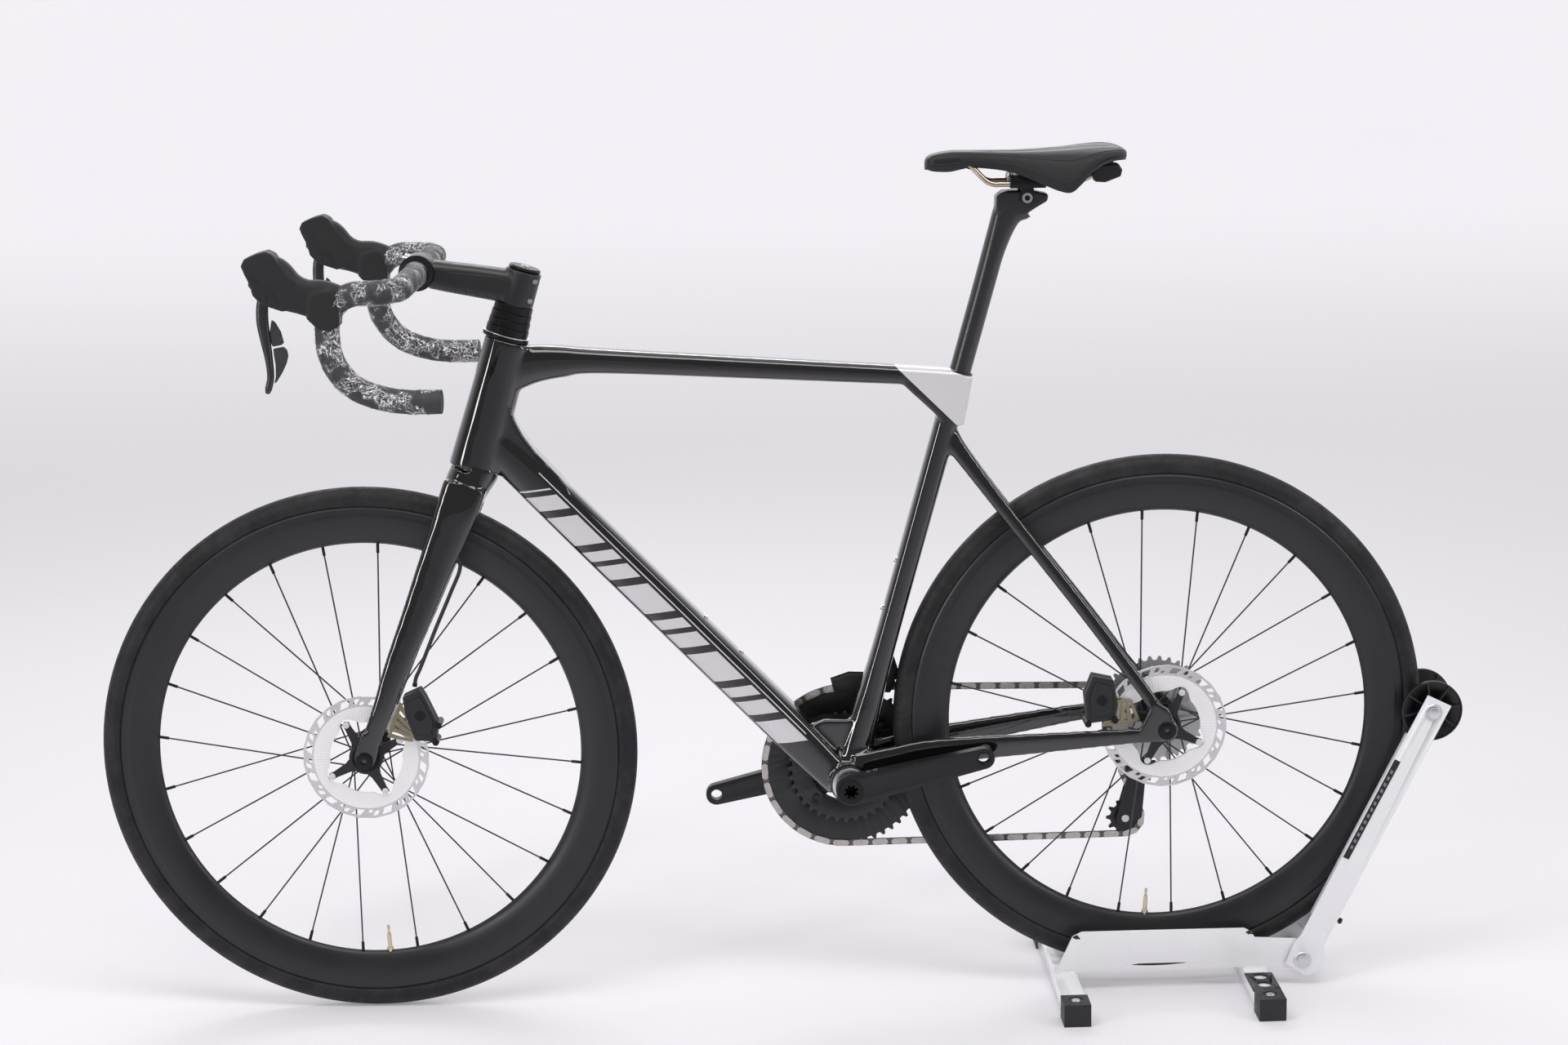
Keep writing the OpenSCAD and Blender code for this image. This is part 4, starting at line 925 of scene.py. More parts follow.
def caliper_pieces(tag, outline, fins, y, body, place):
    """Split caliper body with a slotted fin plate, orange clip, bleed bolt and mounting bolts."""
    inner = extrude(outline, y - 11, y - 1.6)
    outer = extrude(outline, y + 1.6, y + 11.5)
    cx = sum(p[0] for p in outline) / len(outline)
    cz = sum(p[1] for p in outline) / len(outline)
    shrink = [((p[0] - cx) * 0.72 + cx, (p[1] - cz) * 0.72 + cz) for p in outline]
    cap = extrude(shrink, y + 10.5, y + 13.5)
    ob = piece(tag + "_caliper_body", [inner, outer, cap], panel_black, body, (tag + "_caliper",),
               place, edge=32,
               bevel=1.1, segments=3)
    bolts = [disc((p[0], 0, p[1]), y - 13.4, y + 14.4, 4.3, 24) for p in outline[:2]]
    bolts += [disc((p[0], 0, p[1]), y - 14.0, y + 15.0, 2.2, 6) for p in outline[:2]]
    bolts.append(disc((cx, 0, cz), y + 12.8, y + 14.6, 6.2, 40))
    piece(tag + "_caliper_bolts", bolts, black_alloy, body, (), place, edge=35, bevel=0.3)
    # Plate with four long slots, between its two slanted sides
    a, b, c2, d = [Vector((p[0], 0, p[1])) for p in fins]
    rows = [0.0, 0.16, 0.25, 0.38, 0.46, 0.59, 0.67, 0.80, 0.88, 1.0]
    cols = [0.0, 0.14, 0.86, 1.0]
    grid = [[(a.lerp(d, u)).lerp(b.lerp(c2, u), v) for u in cols] for v in rows]
    points = [Vector((p.x, yy, p.z)) for yy in (y + 5.6, y + 6.9) for row in grid for p in row]
    per = len(rows) * len(cols)
    faces = []
    solid = lambda r, k: 0 <= r < 9 and 0 <= k < 3 and not (k == 1 and r in (1, 3, 5, 7))
    for r in range(9):
        for k in range(3):
            if not solid(r, k):
                continue
            q = [r * 4 + k, r * 4 + k + 1, (r + 1) * 4 + k + 1, (r + 1) * 4 + k]
            faces += [q, [per + i for i in q]]
            for (dr, dk), (m, n) in (((-1, 0), (0, 1)), ((1, 0), (2, 3)), ((0, -1), (3, 0)),
                                     ((0, 1), (1, 2))):
                if not solid(r + dr, k + dk):
                    faces.append([q[m], q[n], per + q[n], per + q[m]])
    piece(tag + "_caliper_fins", [(points, faces)], brass_fin, body, (), place, edge=30,
          bevel=0.25)
    clip = outline[3]
    piece(tag + "_caliper_clip",
          [pipe([(clip[0] - 2, y + 4, clip[1] - 6), (clip[0] + 6, y + 5, clip[1] - 4),
                                        (clip[0] + 8, y + 8, clip[1] - 10),
                                        (clip[0] + 2, y + 9, clip[1] - 14)], 1.5, 10)],
          orange, body, (), place)
    return ob


caliper_pieces("front", [(518, 362), (514, 384), (530, 420), (536, 430), (558, 420), (555, 396),
                         (544, 364)],
               [(562, 414), (580, 368), (548, 361), (544, 380)], 38.7, "fork", STEERED)
caliper_pieces("rear", [(-300, 368), (-334, 372), (-338, 392), (-332, 424), (-306, 430), (-296, 404)],
               [(-331, 397), (-356, 396), (-368, 368), (-318, 362)], 55.5, "frame", PLAIN)

hose_points = [(490, 36, 604), (481, 37, 584), (494, 38, 551), (514, 40, 506), (534, 41, 458),
               (541, 41, 443), (543, 41, 432)]
hose_path = [tuple(p) for p in catmull(hose_points, 8)]
piece("front_hose", [pipe(hose_path, 2.5, 16)], hose_rubber, "fork", ("front_brake_hose",),
      STEERED)
piece("front_hose_ferrules", [pipe([hose_path[-4], hose_path[-1]], 3.4, 6),
                              pipe([hose_path[0], hose_path[3]], 3.3, 20)],
      black_alloy, "fork", (), STEERED, edge=40)

dress("chainrings", satin_black, 0.25, 1)
dress("crank_left", crank_black, 1.6, 3)
dress("crank_right", crank_black, 0.9, 2)
dress("cassette", cassette_steel)
dress("guide_pulley", plastic, 0.2, 1)
dress("tension_pulley", plastic, 0.2, 1)
dress("front_derailleur", panel_black, 0.7, 2)
dress("rear_derailleur", panel_black, 0.7, 2)
dress("bottom_bracket_shell", frame_black)
dress("frame_bearings", steel, 0.2, 1)
dress("bottle_bosses", alloy)
for n in ("rear_axle", "front_axle", "front_hub", "rear_hub"):
    dress(n, black_alloy, 0.3, 2)

pedal_l = polar(BB, 172.5, 166.5)
piece("crank_cap", [lathe(BB, [(9.0, 69.0), (9.0, 70.6), (11.2, 70.9), (15.4, 70.4), (16.2, 69.4),
                               (16.2, 68.6), (9.0, 68.6)], 64)],
      black_alloy, "crank", edge=40)
splines = [moved(extrude([(6.4, -1.2), (9.2, -1.6), (9.2, 1.6), (6.4, 1.2)], 66.6, 69.9),
                 Matrix.Translation(BB) @ Matrix.Rotation(math.radians(45 * i), 4, "Y"))
                 for i in range(8)]
piece("crank_cap_splines", splines, black_alloy, "crank", edge=40)
arm_dir = (pedal_l - BB).normalized()
arm_side = Vector((-arm_dir.z, 0, arm_dir.x))
pinch = []
for s in (26, 36):
    mid = BB + arm_dir * s
    pinch.append(pipe([mid + Vector((0, 62, 0)) - arm_side * 18.2,
                       mid + Vector((0, 62, 0)) - arm_side * 13], 3.6, 20))
piece("crank_pinch_bolts", pinch, steel, "crank", edge=40)
panel = []
for s0, s1, w0, w1 in ((52, 148, 11.5, 8.5),):
    p = [BB + arm_dir * s0 - arm_side * w0, BB + arm_dir * s1 - arm_side * w1,
         BB + arm_dir * s1 + arm_side * w1,
         BB + arm_dir * s0 + arm_side * w0]
    lift = lambda s: 69.05 + (75.55 - 69.05) * s / 172.5
    q = [Vector((v.x, lift(s) + 0.25, v.z)) for v, s in zip(p, (s0, s1, s1, s0))]
    base = [Vector((v.x, v.y - 1.4, v.z)) for v in q]
    panel.append(skin([base, q]))
piece("crank_panel", panel, satin_black, "crank", edge=30, bevel=0.8, segments=3)
threads = [lathe(pedal_l, [(7.2, 63.2), (8.6, 62.8), (9.2, 75.2), (8.9, 75.9), (7.5, 75.9),
                           (7.2, 75.4)], 48)]
piece("crank_eye_ring", threads, black_alloy, "crank", edge=40)

# Derailleur pulleys, cage bolts and the front mechanism's small parts
small = []
for c, r in ((GUIDE, 4.2), (TENSION, 5.0)):
    small.append(disc(c, COG_Y + 6.4, COG_Y + 7.6, r, 24))
    small.append(disc(c, COG_Y - 7.8, COG_Y - 6.8, r, 24))
piece("rear_derailleur_bolts", small, steel, "frame", edge=35, bevel=0.3)
mech = [disc((-48, 0, 424), -15, -11.5, 5.0, 24), disc((-56, 0, 436), -20, -12, 4.0, 24),
        pipe([(-40, -22, 440), (-38, -22, 452), (-46, -24, 456)], 3.2, 14),
        disc((-62, 0, 412), -42, -18, 3.4, 20)]
piece("front_derailleur_bolts", mech, black_alloy, "frame", edge=35, bevel=0.3)


# ---- cockpit ----
BAR_MID = Vector((524, 0, 949))
HOOK = Vector((566, BAR_Y, 909))
DROP = Vector((536, BAR_Y, 895))
TAIL = DROP - 90 * Vector((math.cos(math.radians(70)), 0, -math.sin(math.radians(70))))


def bar_path(y_from, step=2.0):
    """Centre line of the left half of the handlebar, from its middle to its end."""
    out = []

    def arc(centre, radius, start, end, plane):
        n = max(2, int(abs(math.radians(end - start)) * radius / step))
        for k in range(n):
            a = math.radians(start + (end - start) * k / n)
            if plane == "xy":
                out.append(centre + radius * Vector((math.cos(a), math.sin(a), 0)))
            else:
                out.append(centre + radius * Vector((math.cos(a), 0, math.sin(a))))

    def line(a, b):
        n = max(1, int((b - a).length / step))
        out.extend(a.lerp(b, k / n) for k in range(n))

    line(Vector((524, y_from, 949)), Vector((524, BAR_Y - 42, 949)))
    arc(Vector((566, BAR_Y - 42, 949)), 42, 180, 90, "xy")
    arc(HOOK, 40, 90, 0, "xz")
    line(HOOK + Vector((40, 0, 0)), DROP + Vector((70, 0, 0)))
    arc(DROP, 70, 0, -70, "xz")
    arc(TAIL, 160, -70, -90, "xz")
    end = TAIL + Vector((-30, 0, -160))
    line(TAIL - Vector((0, 0, 160)), end)
    out.append(end)
    return out


def frames_along(path):
    """A steady pair of cross directions at each point of a path."""
    up = None
    out = []
    for i, p in enumerate(path):
        t = (path[min(i + 1, len(path) - 1)] - path[max(i - 1, 0)]).normalized()
        if up is None:
            up = Vector((0, 0, 1)) if abs(t.z) < 0.9 else Vector((1, 0, 0))
        up = (up - up.dot(t) * t).normalized()
        out.append((p, t, up, t.cross(up)))
    return out


def tape_and_film(seed):
    """Bar tape with overlapping turns, and the clear film wound over it, creased and slack in places."""
    rnd = random.Random(seed)
    path = bar_path(46, 1.25)
    stand = frames_along(path)
    around = 64
    run = 0.0
    tape, film = [], []
    waves = [(rnd.uniform(0.03, 0.11), rnd.randint(1, 5), rnd.uniform(0, 6.28), rnd.uniform(0.5, 1.0))
             for _ in range(14)]
    folds = [(rnd.uniform(0, len(path) * 1.25), rnd.uniform(0, math.tau), rnd.uniform(-0.35, 0.35),
              rnd.uniform(8, 26),
              rnd.uniform(0.25, 0.85)) for _ in range(190)]
    for i, (p, _, up, other) in enumerate(stand):
        if i:
            run += (p - stand[i - 1][0]).length
        t_ring, f_ring = [], []
        near = [f for f in folds if abs(f[0] - run) < f[3]]
        for k in range(around):
            a = math.tau * k / around
            turn = (run / 21.0 + a / math.tau) % 1.0
            lap = 0.55 * max(0.0, 1 - turn / 0.14) + 0.12 * math.sin(math.tau * turn)
            direction = up * math.cos(a) + other * math.sin(a)
            t_ring.append(p + direction * (14.35 + lap))
            crease = sum(w * math.sin(run * s + a * m + ph) for s, m, ph, w in waves) * 0.055
            spiral = 0.16 * abs(math.sin(math.pi * ((run / 27.0 - a / math.tau) % 1.0)))
            for at, angle, lean, length, height in near:
                d = (a - angle - lean * (run - at) / 6.0 + math.pi) % math.tau - math.pi
                if abs(d) < 0.16:
                    crease += height * (1 - abs(d) / 0.16) * (1 - abs(run - at) / length)
            f_ring.append(p + direction * (15.05 + min(1.0, spiral + abs(crease))))
        tape.append(t_ring)
        film.append(f_ring)
    end = stand[-1]
    plug = [[end[0] + end[1] * h + (end[2] * math.cos(math.tau * k / 48)
                                    + end[3] * math.sin(math.tau * k / 48)) * r
             for k in range(48)] for r, h in ((13.6, -2.0), (14.4, -0.4), (14.2, 0.5), (12.8, 1.1),
                                              (8.0, 0.9), (7.6, 0.4))]
    return skin(tape), skin(film, caps=False), skin(plug)


def tape_finish():
    n = Nodes("bar_tape")
    n.set(Base_Color=n.mix(n.noise(60, 4.0), (0.009, 0.009, 0.010), (0.020, 0.020, 0.022)))
    n.set(Roughness=n.ramp(n.noise(200, 3.0), 0.3, 0.7, 0.5, 0.68), Specular_IOR_Level=0.4)
    n.bump(n.cells(1500), 0.18 * MM)
    return n.material


def film_finish():
    """Clear film: mostly seen through, with painted highlights: near-white, nearly opaque lines along its
    creases stand in for the light the creases reflect.
    """
    n = Nodes("clear_film")
    crease = n.noise(75, 2.0, (1, 1.5, 1), rough=0.5, distort=1.3)
    fine = n.noise(200, 1.5, (1, 1.5, 1), rough=0.5, distort=1.6)
    ridge = n.math("ABSOLUTE", n.math("SUBTRACT", crease, 0.5))
    line = n.ramp(ridge, 0.004, 0.034, 1.0, 0.0)
    ridge_b = n.math("ABSOLUTE", n.math("SUBTRACT", fine, 0.52))
    fine_painted_glint = n.ramp(ridge_b, 0.004, 0.040, 0.8, 0.0)
    where_slack = n.ramp(n.noise(42, 2.0), 0.40, 0.60, 0.05, 1.0)
    painted_glint_mask = n.math("MULTIPLY", n.math("MAXIMUM", line, fine_painted_glint), where_slack)
    # Painted highlight: the film is near-white only where the crease lines are opaque; elsewhere it is
    # almost clear.
    n.set(Base_Color=(0.88, 0.88, 0.91, 1.0), Roughness=0.10, Specular_IOR_Level=0.5)
    n.set(Alpha=n.ramp(painted_glint_mask, 0.0, 1.0, 0.03, 0.92))
    n.bump(n.math("ADD", n.math("MULTIPLY", crease, 1.0), n.math("MULTIPLY", fine, 0.5)), 1.6 * MM)
    return n.material


tape_mat, film_mat = tape_finish(), film_finish()
left_tape, left_film, left_plug = tape_and_film(3)
right_tape, right_film, right_plug = (mirrored(p) for p in tape_and_film(8))
piece("bar_tape_wrap", [left_tape, right_tape], tape_mat, "fork", ("bar_tape",), STEERED)
piece("bar_film", [left_film, right_film], film_mat, "fork", (), STEERED)
piece("bar_plugs", [left_plug, right_plug], plastic, "fork", (), STEERED, edge=40)
half = [tuple(p) for p in bar_path(0, 4.0)]
tubes = [pipe([(524, -70, 949), (524, -44, 949), (524, -30, 949), (524, 30, 949), (524, 44, 949),
               (524, 70, 949)],
              [12, 12.4, 15.9, 15.9, 12.4, 12], 64), pipe(half, 12, 40), mirrored(pipe(half, 12, 40))]
piece("handlebar_tube", tubes, satin_black, "fork", ("handlebar",), STEERED, edge=50)


def hood_parts():
    """Body of the hood as rounded slabs, with the horn, the grip and the clamp boot."""
    y = BAR_Y
    return [
        tube([(595, y, 930, 60, 29, 2.8), (612, y, 941, 50, 29, 2.8), (632, y, 946, 42, 29, 2.9),
              (650, y, 953, 47, 29.5, 2.9),
              (668, y, 966, 56, 30, 2.9), (680, y, 972, 50, 29.5, 2.9), (692, y, 975, 33, 28, 2.6)], 6,
              40),
        extrude([(650, 975), (664, 997), (672, 1001), (684, 998), (698, 992), (702, 984), (698, 974),
                 (692, 962), (690, 950),
                 (684, 943), (672, 936), (655, 930), (640, 936), (640, 965)], y - 14.6, y + 14.6),
        extrude([(589, 934), (590, 912), (604, 905), (616, 910), (628, 922), (622, 950), (600, 955)],
                y - 15.6, y + 15.6),
    ]


def hood_body(tag, flip):
    parts = hood_parts()
    if flip:
        parts = [mirrored(p) for p in parts]
    side = -1 if flip else 1
    ob = fused("hood_" + tag, parts, 1.5, 6, hood_rubber, "fork", ("brake_hoods",),
               STEERED)
    # Slot for the lever
    cutter = piece("cut_" + tag,
                   [extrude([(655, 900), (715, 900), (715, 957), (655, 957)], side * BAR_Y - 6.5,
                            side * BAR_Y + 6.5)],
                   hood_rubber, "fork", place=STEERED)
    cut = ob.modifiers.new("slot", "BOOLEAN")
    cut.object = cutter
    cut.solver = "EXACT"
    baked(ob)
    bpy.data.objects.remove(cutter)
    ob.data.polygons.foreach_set("use_smooth", [True] * len(ob.data.polygons))
    ob.data.set_sharp_from_angle(angle=math.radians(50))
    return ob


hood_body("left", False)
hood_body("right", True)


def hood_trim(flip):
    """Pivot pin ends and the raised seam that runs down the hood's side."""
    y = BAR_Y
    parts = [disc((676, 0, 946), y - 15.4, y + 15.4, 3.6, 24),
             disc((676, 0, 946), y - 15.8, y + 15.8, 1.9, 6)]
    for s in (-1, 1):
        seam = catmull([(699, y + s * 13.2, 978), (690, y + s * 14.7, 972), (678, y + s * 14.9, 962),
                        (666, y + s * 14.9, 950),
                        (658, y + s * 14.8, 938)], 8)
        parts.append(pipe([tuple(p) for p in seam], 0.7, 8))
        boot = catmull([(592, y + s * 15.3, 946), (600, y + s * 15.5, 934), (613, y + s * 15.4, 924),
                        (624, y + s * 14.6, 918)], 8)
        parts.append(pipe([tuple(p) for p in boot], 0.6, 8))
    return [mirrored(p) for p in parts] if flip else parts


piece("hood_trim", hood_trim(False) + hood_trim(True), [panel_black], "fork", (),
      STEERED, edge=40)


def lever_finish():
    n = finish("lever_face", (0.035, 0.035, 0.038), 0.3, 0.55, coat=0.3, grain=0.02, coat_rough=0.2)
    return n.material


def paddle_finish():
    """Textured touch face: rows of tiny raised pips."""
    n = Nodes("paddle_face")
    pips = n.cells(620)
    n.set(Base_Color=n.mix(n.noise(80), (0.02, 0.02, 0.022), (0.035, 0.035, 0.038)))
    n.set(Roughness=n.ramp(pips, 0.1, 0.6, 0.36, 0.6))
    n.bump(n.ramp(pips, 0.15, 0.45, 1.0, 0.0), 0.35 * MM)
    return n.material


lever_mat, paddle_mat = lever_finish(), paddle_finish()


def lever_parts():
    y = BAR_Y
    blade = tube([(676, y, 950, 12, 11.5, 2.8), (680.5, y, 938, 14, 10.5, 2.8),
                  (681.5, y, 917, 14.5, 10.0, 2.6),
                  (679, y, 895, 12.5, 10.0, 2.4), (676, y, 872, 9.5, 10.0, 2.2),
                  (675, y, 852, 8.5, 10.0, 2.2),
                  (678, y, 838, 8.5, 9.6, 2.2), (680, y, 832, 5.0, 7.0, 2.0)], 8, 32)
    knuckle = disc((676, 0, 946), y - 5.9, y + 5.9, 6.9, 40)
    return [blade, knuckle]


def paddle_parts(outline):
    return [extrude(outline, BAR_Y - 5, BAR_Y + 1)]


upper = [(671, 919), (667, 916), (661, 905), (658, 892), (660, 889.5), (671, 887.6), (673, 893),
         (673.6, 905)]
lower = [(670.6, 885), (658.5, 887.2), (654.5, 883), (653.5, 876), (656, 867), (661, 857), (668, 846),
         (671, 843.5),
         (669, 852), (668.6, 866), (670, 878)]
for tag, flip in (("left", False), ("right", True)):
    side = (lambda ps: [mirrored(p) for p in ps]) if flip else (lambda ps: ps)
    ob = fused("lever_blade_" + tag, side(lever_parts()), 0.8, 4, lever_mat, "lever_" + tag,
               ("brake_lever_" + tag,), STEERED)
    for which, outline in (("upper", upper), ("lower", lower)):
        body = which + "_paddle_" + tag
        piece(body + "_face", side(paddle_parts(outline)), paddle_mat, body, (body,),
              STEERED,
              edge=40, bevel=1.0, segments=3)

# Stem: a squared body with a raised side panel, bar clamp ring with bright chamfers, and the split
# steerer clamp


def steerer_ring(s0, s1, deep, wide, inner, shift=1.0, lip=0.8, count=72):
    """A spacer or clamp round the steerer with softened rims."""
    rings = []
    turn = Matrix.Rotation(HEAD - math.pi / 2, 4, "Y")
    for k, h in ((1.0, s0 + lip), (1.0, s1 - lip), (1 - 2 * lip / wide, s1), (0.0, s1), (0.0, s0),
                 (1 - 2 * lip / wide, s0)):
        place = Matrix.Translation(on_steerer(h)) @ turn
        ring = []
        for i in range(count):
            a = math.tau * i / count
            if k:
                ring.append(place @ Vector((deep / 2 * k * math.cos(a) + shift,
                                            wide / 2 * k * math.sin(a), 0)))
            else:
                ring.append(place @ Vector((inner * math.cos(a), inner * math.sin(a), 0)))
        rings.append(ring)
    return skin(rings, close=True)


stem_parts = [
    tube([(398, 0, 927, 42, 38, 3.2), (425, 0, 932, 41, 37, 3.4), (460, 0, 938, 39, 36, 3.4),
          (490, 0, 943, 37, 37, 3.2),
          (508, 0, 946.5, 36, 38, 2.8)], 6, 56),
    steerer_ring(600.6, 645, 44, 42, 14.5, 0.0, 0.6),
]
fused("stem_body", stem_parts, 1.6, 5, satin_black, "fork", ("stem",), STEERED)
clamp = [lathe(BAR_MID, [(16.0, -20.4), (21.2, -20.4), (22.2, -19.2), (22.2, 19.2), (21.2, 20.4),
                         (16.0, 20.4)], 96)]
piece("stem_clamp_ring", clamp, satin_black, "fork", (), STEERED, edge=40)
piece("stem_clamp_chamfer",
      [lathe(BAR_MID, [(20.6, s * 20.45), (21.6, s * 20.5), (22.2, s * 19.6), (21.0, s * 20.1)], 96)
                             for s in (-1, 1)], black_alloy, "fork", (), STEERED,
                             edge=30)
panels, marks = [], []
for s in (-1, 1):
    y = s * 18.6
    panels.append(extrude([(412, 921), (486, 935), (484, 950), (420, 943), (407, 930)],
                          min(y, y - s * 2), max(y, y - s * 2)))
    for k in range(5):
        x = 425 + k * 13
        z = 914.6 + k * 2.1
        marks.append(pipe([(x, s * 16.6, z), (x + 0.8, s * 18.1, z + 6.5)], 0.35, 6))
piece("stem_side_panels", panels, panel_black, "fork", (), STEERED, edge=35, bevel=0.8,
      segments=2)
piece("stem_side_grooves", marks, panel_black, "fork", (), STEERED, edge=60)
screws = []
for z, x in ((966, 533.5), (932, 533.5)):
    for s in (-1, 1):
        screws.append(pipe([(x, s * 13, z), (x + 8, s * 13, z + (1.5 if z > 949 else -1.5))], 3.2, 20))
piece("stem_face_bolts", screws, steel, "fork", (), STEERED, edge=40)
slot_cut = []
for s, depth in ((612, 18), (637, 18)):
    for side_y in (-1, 1):
        c = on_steerer(s) + Vector((-17.5 * math.sin(HEAD), side_y * 14.5, -17.5 * math.cos(HEAD)))
        slot_cut.append(pipe([c, c + Vector((0, side_y * 2.2, 0))], 3.0, 20))
piece("stem_clamp_bolts", slot_cut, steel, "fork", (), STEERED, edge=40)
stack = [steerer_ring(556.6, 562.9, 58, 48, 14.6, 1.0, 1.0)]
stack += [steerer_ring(563 + i * 9.6, 572.2 + i * 9.6, 53 - 1.6 * i, 45 - 0.8 * i, 14.6, 1.0, 0.45)
          for i in range(4)]
stack.append(steerer_ring(645.2, 650.0, 40, 40, 2.5, 0.0, 1.6))
piece("headset_rings", stack, black_alloy, "fork", ("headset_stack",), STEERED, edge=28)
top_bolt = Matrix.Translation(on_steerer(650)) @ Matrix.Rotation(HEAD - math.pi / 2, 4, "Y")
piece("top_cap_bolt",
      [skin([[top_bolt @ Vector((r * math.cos(math.tau * i / 32), r * math.sin(math.tau * i / 32), h))
                              for i in range(32)] for r, h in ((5.6, -0.5), (5.6, 0.6), (4.8, 1.3),
                                  (3.0, 1.3), (2.8, 0.2))])],
      steel, "fork", (), STEERED, edge=35)
piece("headset_bright_ring", [steerer_ring(561.9, 563.1, 58.6, 48.6, 25.0, 1.0, 0.3)], alloy, "fork",
      (),
      STEERED, edge=40)


# ---- seat ----
def post_parts():
    lower, upper_end = 424.0, 732.0
    shaft = [on_seat_tube(lower), on_seat_tube(lower + 2), on_seat_tube(560), on_seat_tube(650),
             on_seat_tube(upper_end)]
    flare = tube([station(on_seat_tube(640), 27.2, 27.2, 2.0),
                  station(on_seat_tube(700), 28.2, 27.2, 2.1),
                  (-203, 0, 1003, 36, 26.8, 2.6), (-214, 0, 1019, 52, 26.4, 3.2)])
    head = extrude([(-189, 1010), (-190, 1030), (-199, 1036.5), (-235, 1036.5), (-255, 1031.5),
                    (-254, 1023),
                    (-240, 1015), (-226, 1006)], -13.2, 13.2)
    return [pipe(shaft, [12.8, 13.6, 13.6, 13.6, 13.6], 64), flare, head]


fused("seatpost_moulding", post_parts(), 1.6, 9, post_carbon, "seatpost", ("seatpost",))
dress("saddle_clamp", black_alloy, 0.8, 3)
clamp_bolts = []
for x in (-248, -208):
    clamp_bolts.append(pipe([(x, 0, 1041.5), (x, 0, 1057)], 3.0, 20))
    clamp_bolts.append(pipe([(x, 0, 1054), (x, 0, 1058.5)], 4.6, 24))
piece("saddle_clamp_bolts", clamp_bolts, steel, "saddle_clamp", edge=35, bevel=0.3)
piece("saddle_clamp_barrel_ends",
      [lathe(Vector((-228, 0, 1028)), [(3, s * 18), (6.8, s * 18), (6.4, s * 19.2), (3.4, s * 19.2),
                                                                  (3, s * 18.6)], 40) for s in (-1, 1)],
      steel, "saddle_clamp", edge=35)


def saddle_finish():
    """Smooth microfibre with a textured field on the flanks and tail."""
    n = Nodes("saddle_cover")
    x, y, _ = n.axes()
    across = n.math("ABSOLUTE", y)
    field = n.math("MULTIPLY", n.math("GREATER_THAN", across, n.ramp(x, -0.32, -0.12, 0.030, 0.011)),
                   n.math("LESS_THAN", x, -0.145))
    weave = n.cells(700)
    n.set(Base_Color=n.mix(field, n.mix(n.noise(50, 4.0), (0.009, 0.009, 0.010),
                                        (0.014, 0.014, 0.0155)), (0.016, 0.0155, 0.0165)))
    n.set(Roughness=n.ramp(field, 0.0, 1.0, 0.40, 0.56), Sheen_Weight=0.03, Specular_IOR_Level=0.35)
    pips = n.math("MULTIPLY", field, n.ramp(weave, 0.1, 0.5, 1.0, 0.0))
    leather = n.math("MULTIPLY", n.noise(1300, 4.0, rough=0.65), 0.35)
    n.bump(n.math("ADD", pips, leather), 0.30 * MM)
    return n.material


SADDLE = [  # x, half width, top height, side drop
    (-103, 5, 1074, 3), (-106, 12, 1079, 7), (-114, 17, 1083, 12), (-132, 19.5, 1086, 15),
    (-146, 20.5, 1086.4, 13),
    (-160, 22, 1086.2, 11), (-190, 27, 1085.5, 12.5), (-212, 33, 1085.2, 16), (-230, 41, 1085.5, 22),
    (-248, 49, 1086, 29), (-264, 56, 1086.8, 35), (-278, 61, 1087.6, 37), (-290, 65, 1088.4, 29),
    (-303, 67, 1089.2, 17), (-318, 66, 1089.6, 9), (-332, 60, 1089.2, 6), (-342, 50, 1088, 5),
    (-347.5, 38, 1086, 4),
]


def saddle_surface(inset=0.0, lower=0.0, side_steps=26):
    rows = catmull(SADDLE, 8)
    points, faces = [], []
    width = 2 * side_steps + 1
    for x, w, top, drop in rows:
        w = max(w - inset, 1.0)
        for k in range(-side_steps, side_steps + 1):
            s = abs(k) / side_steps
            phi = s * math.pi * 0.53
            y = math.copysign(w * math.sin(min(phi, math.pi / 2)) ** 0.92 - w * 0.06 * max(0.0,
                phi - math.pi / 2) * 6, k) if k else 0.0
            z = top - lower - drop * (1 - math.cos(phi)) ** 1.7
            relief = 3.0 * math.exp(-((y / 7.5) ** 2)) * min(1.0, max(0.0, (-x - 140) / 40)) * min(1.0,
                max(0.0, (x + 345) / 22))
            points.append((x, y, z - relief * (1 if lower < 1 else 0)))
    for j in range(len(rows) - 1):
        for k in range(width - 1):
            a = j * width + k
            faces.append((a, a + 1, a + width + 1, a + width))
    return points, faces


def closed_shell(top, bottom, width):
    """Joins two equal grids into one closed solid."""
    n = len(top[0])
    points = list(top[0]) + list(bottom[0])
    faces = list(top[1]) + [tuple(n + i for i in f[::-1]) for f in bottom[1]]
    rows = n // width
    for j in range(rows - 1):
        for k in (0, width - 1):
            a, b = j * width + k, (j + 1) * width + k
            faces.append((a, b, n + b, n + a) if k == 0 else (b, a, n + a, n + b))
    for k in range(width - 1):
        a = k
        faces.append((a + 1, a, n + a, n + a + 1))
        a = (rows - 1) * width + k
        faces.append((a, a + 1, n + a + 1, n + a))
    return points, faces


saddle = piece("saddle_pad", [closed_shell(saddle_surface(), saddle_surface(2.6, 5.2), 53)],
               saddle_finish(), "saddle",
               ("saddle",), edge=60, bevel=1.4, segments=3)
rows = catmull(SADDLE, 8)
seams = []
for side in (-1, 1):
    line = []
    for x, w, top, drop in rows[10:-8]:
        phi = 0.62 * math.pi * 0.53
        line.append((x, side * w * math.sin(phi) ** 0.92,
                     top - drop * (1 - math.cos(phi)) ** 1.7 + 0.05))
    seams.append(pipe(line, 0.55, 8))
    edge_line = []
    for x, w, top, drop in rows[6:-4]:
        phi = 0.93 * math.pi * 0.53
        edge_line.append((x, side * w * math.sin(min(phi, math.pi / 2)) ** 0.92,
                          top - drop * (1 - math.cos(phi)) ** 1.7))
    seams.append(pipe(edge_line, 0.6, 8))
piece("saddle_seams", seams, panel_black, "saddle")
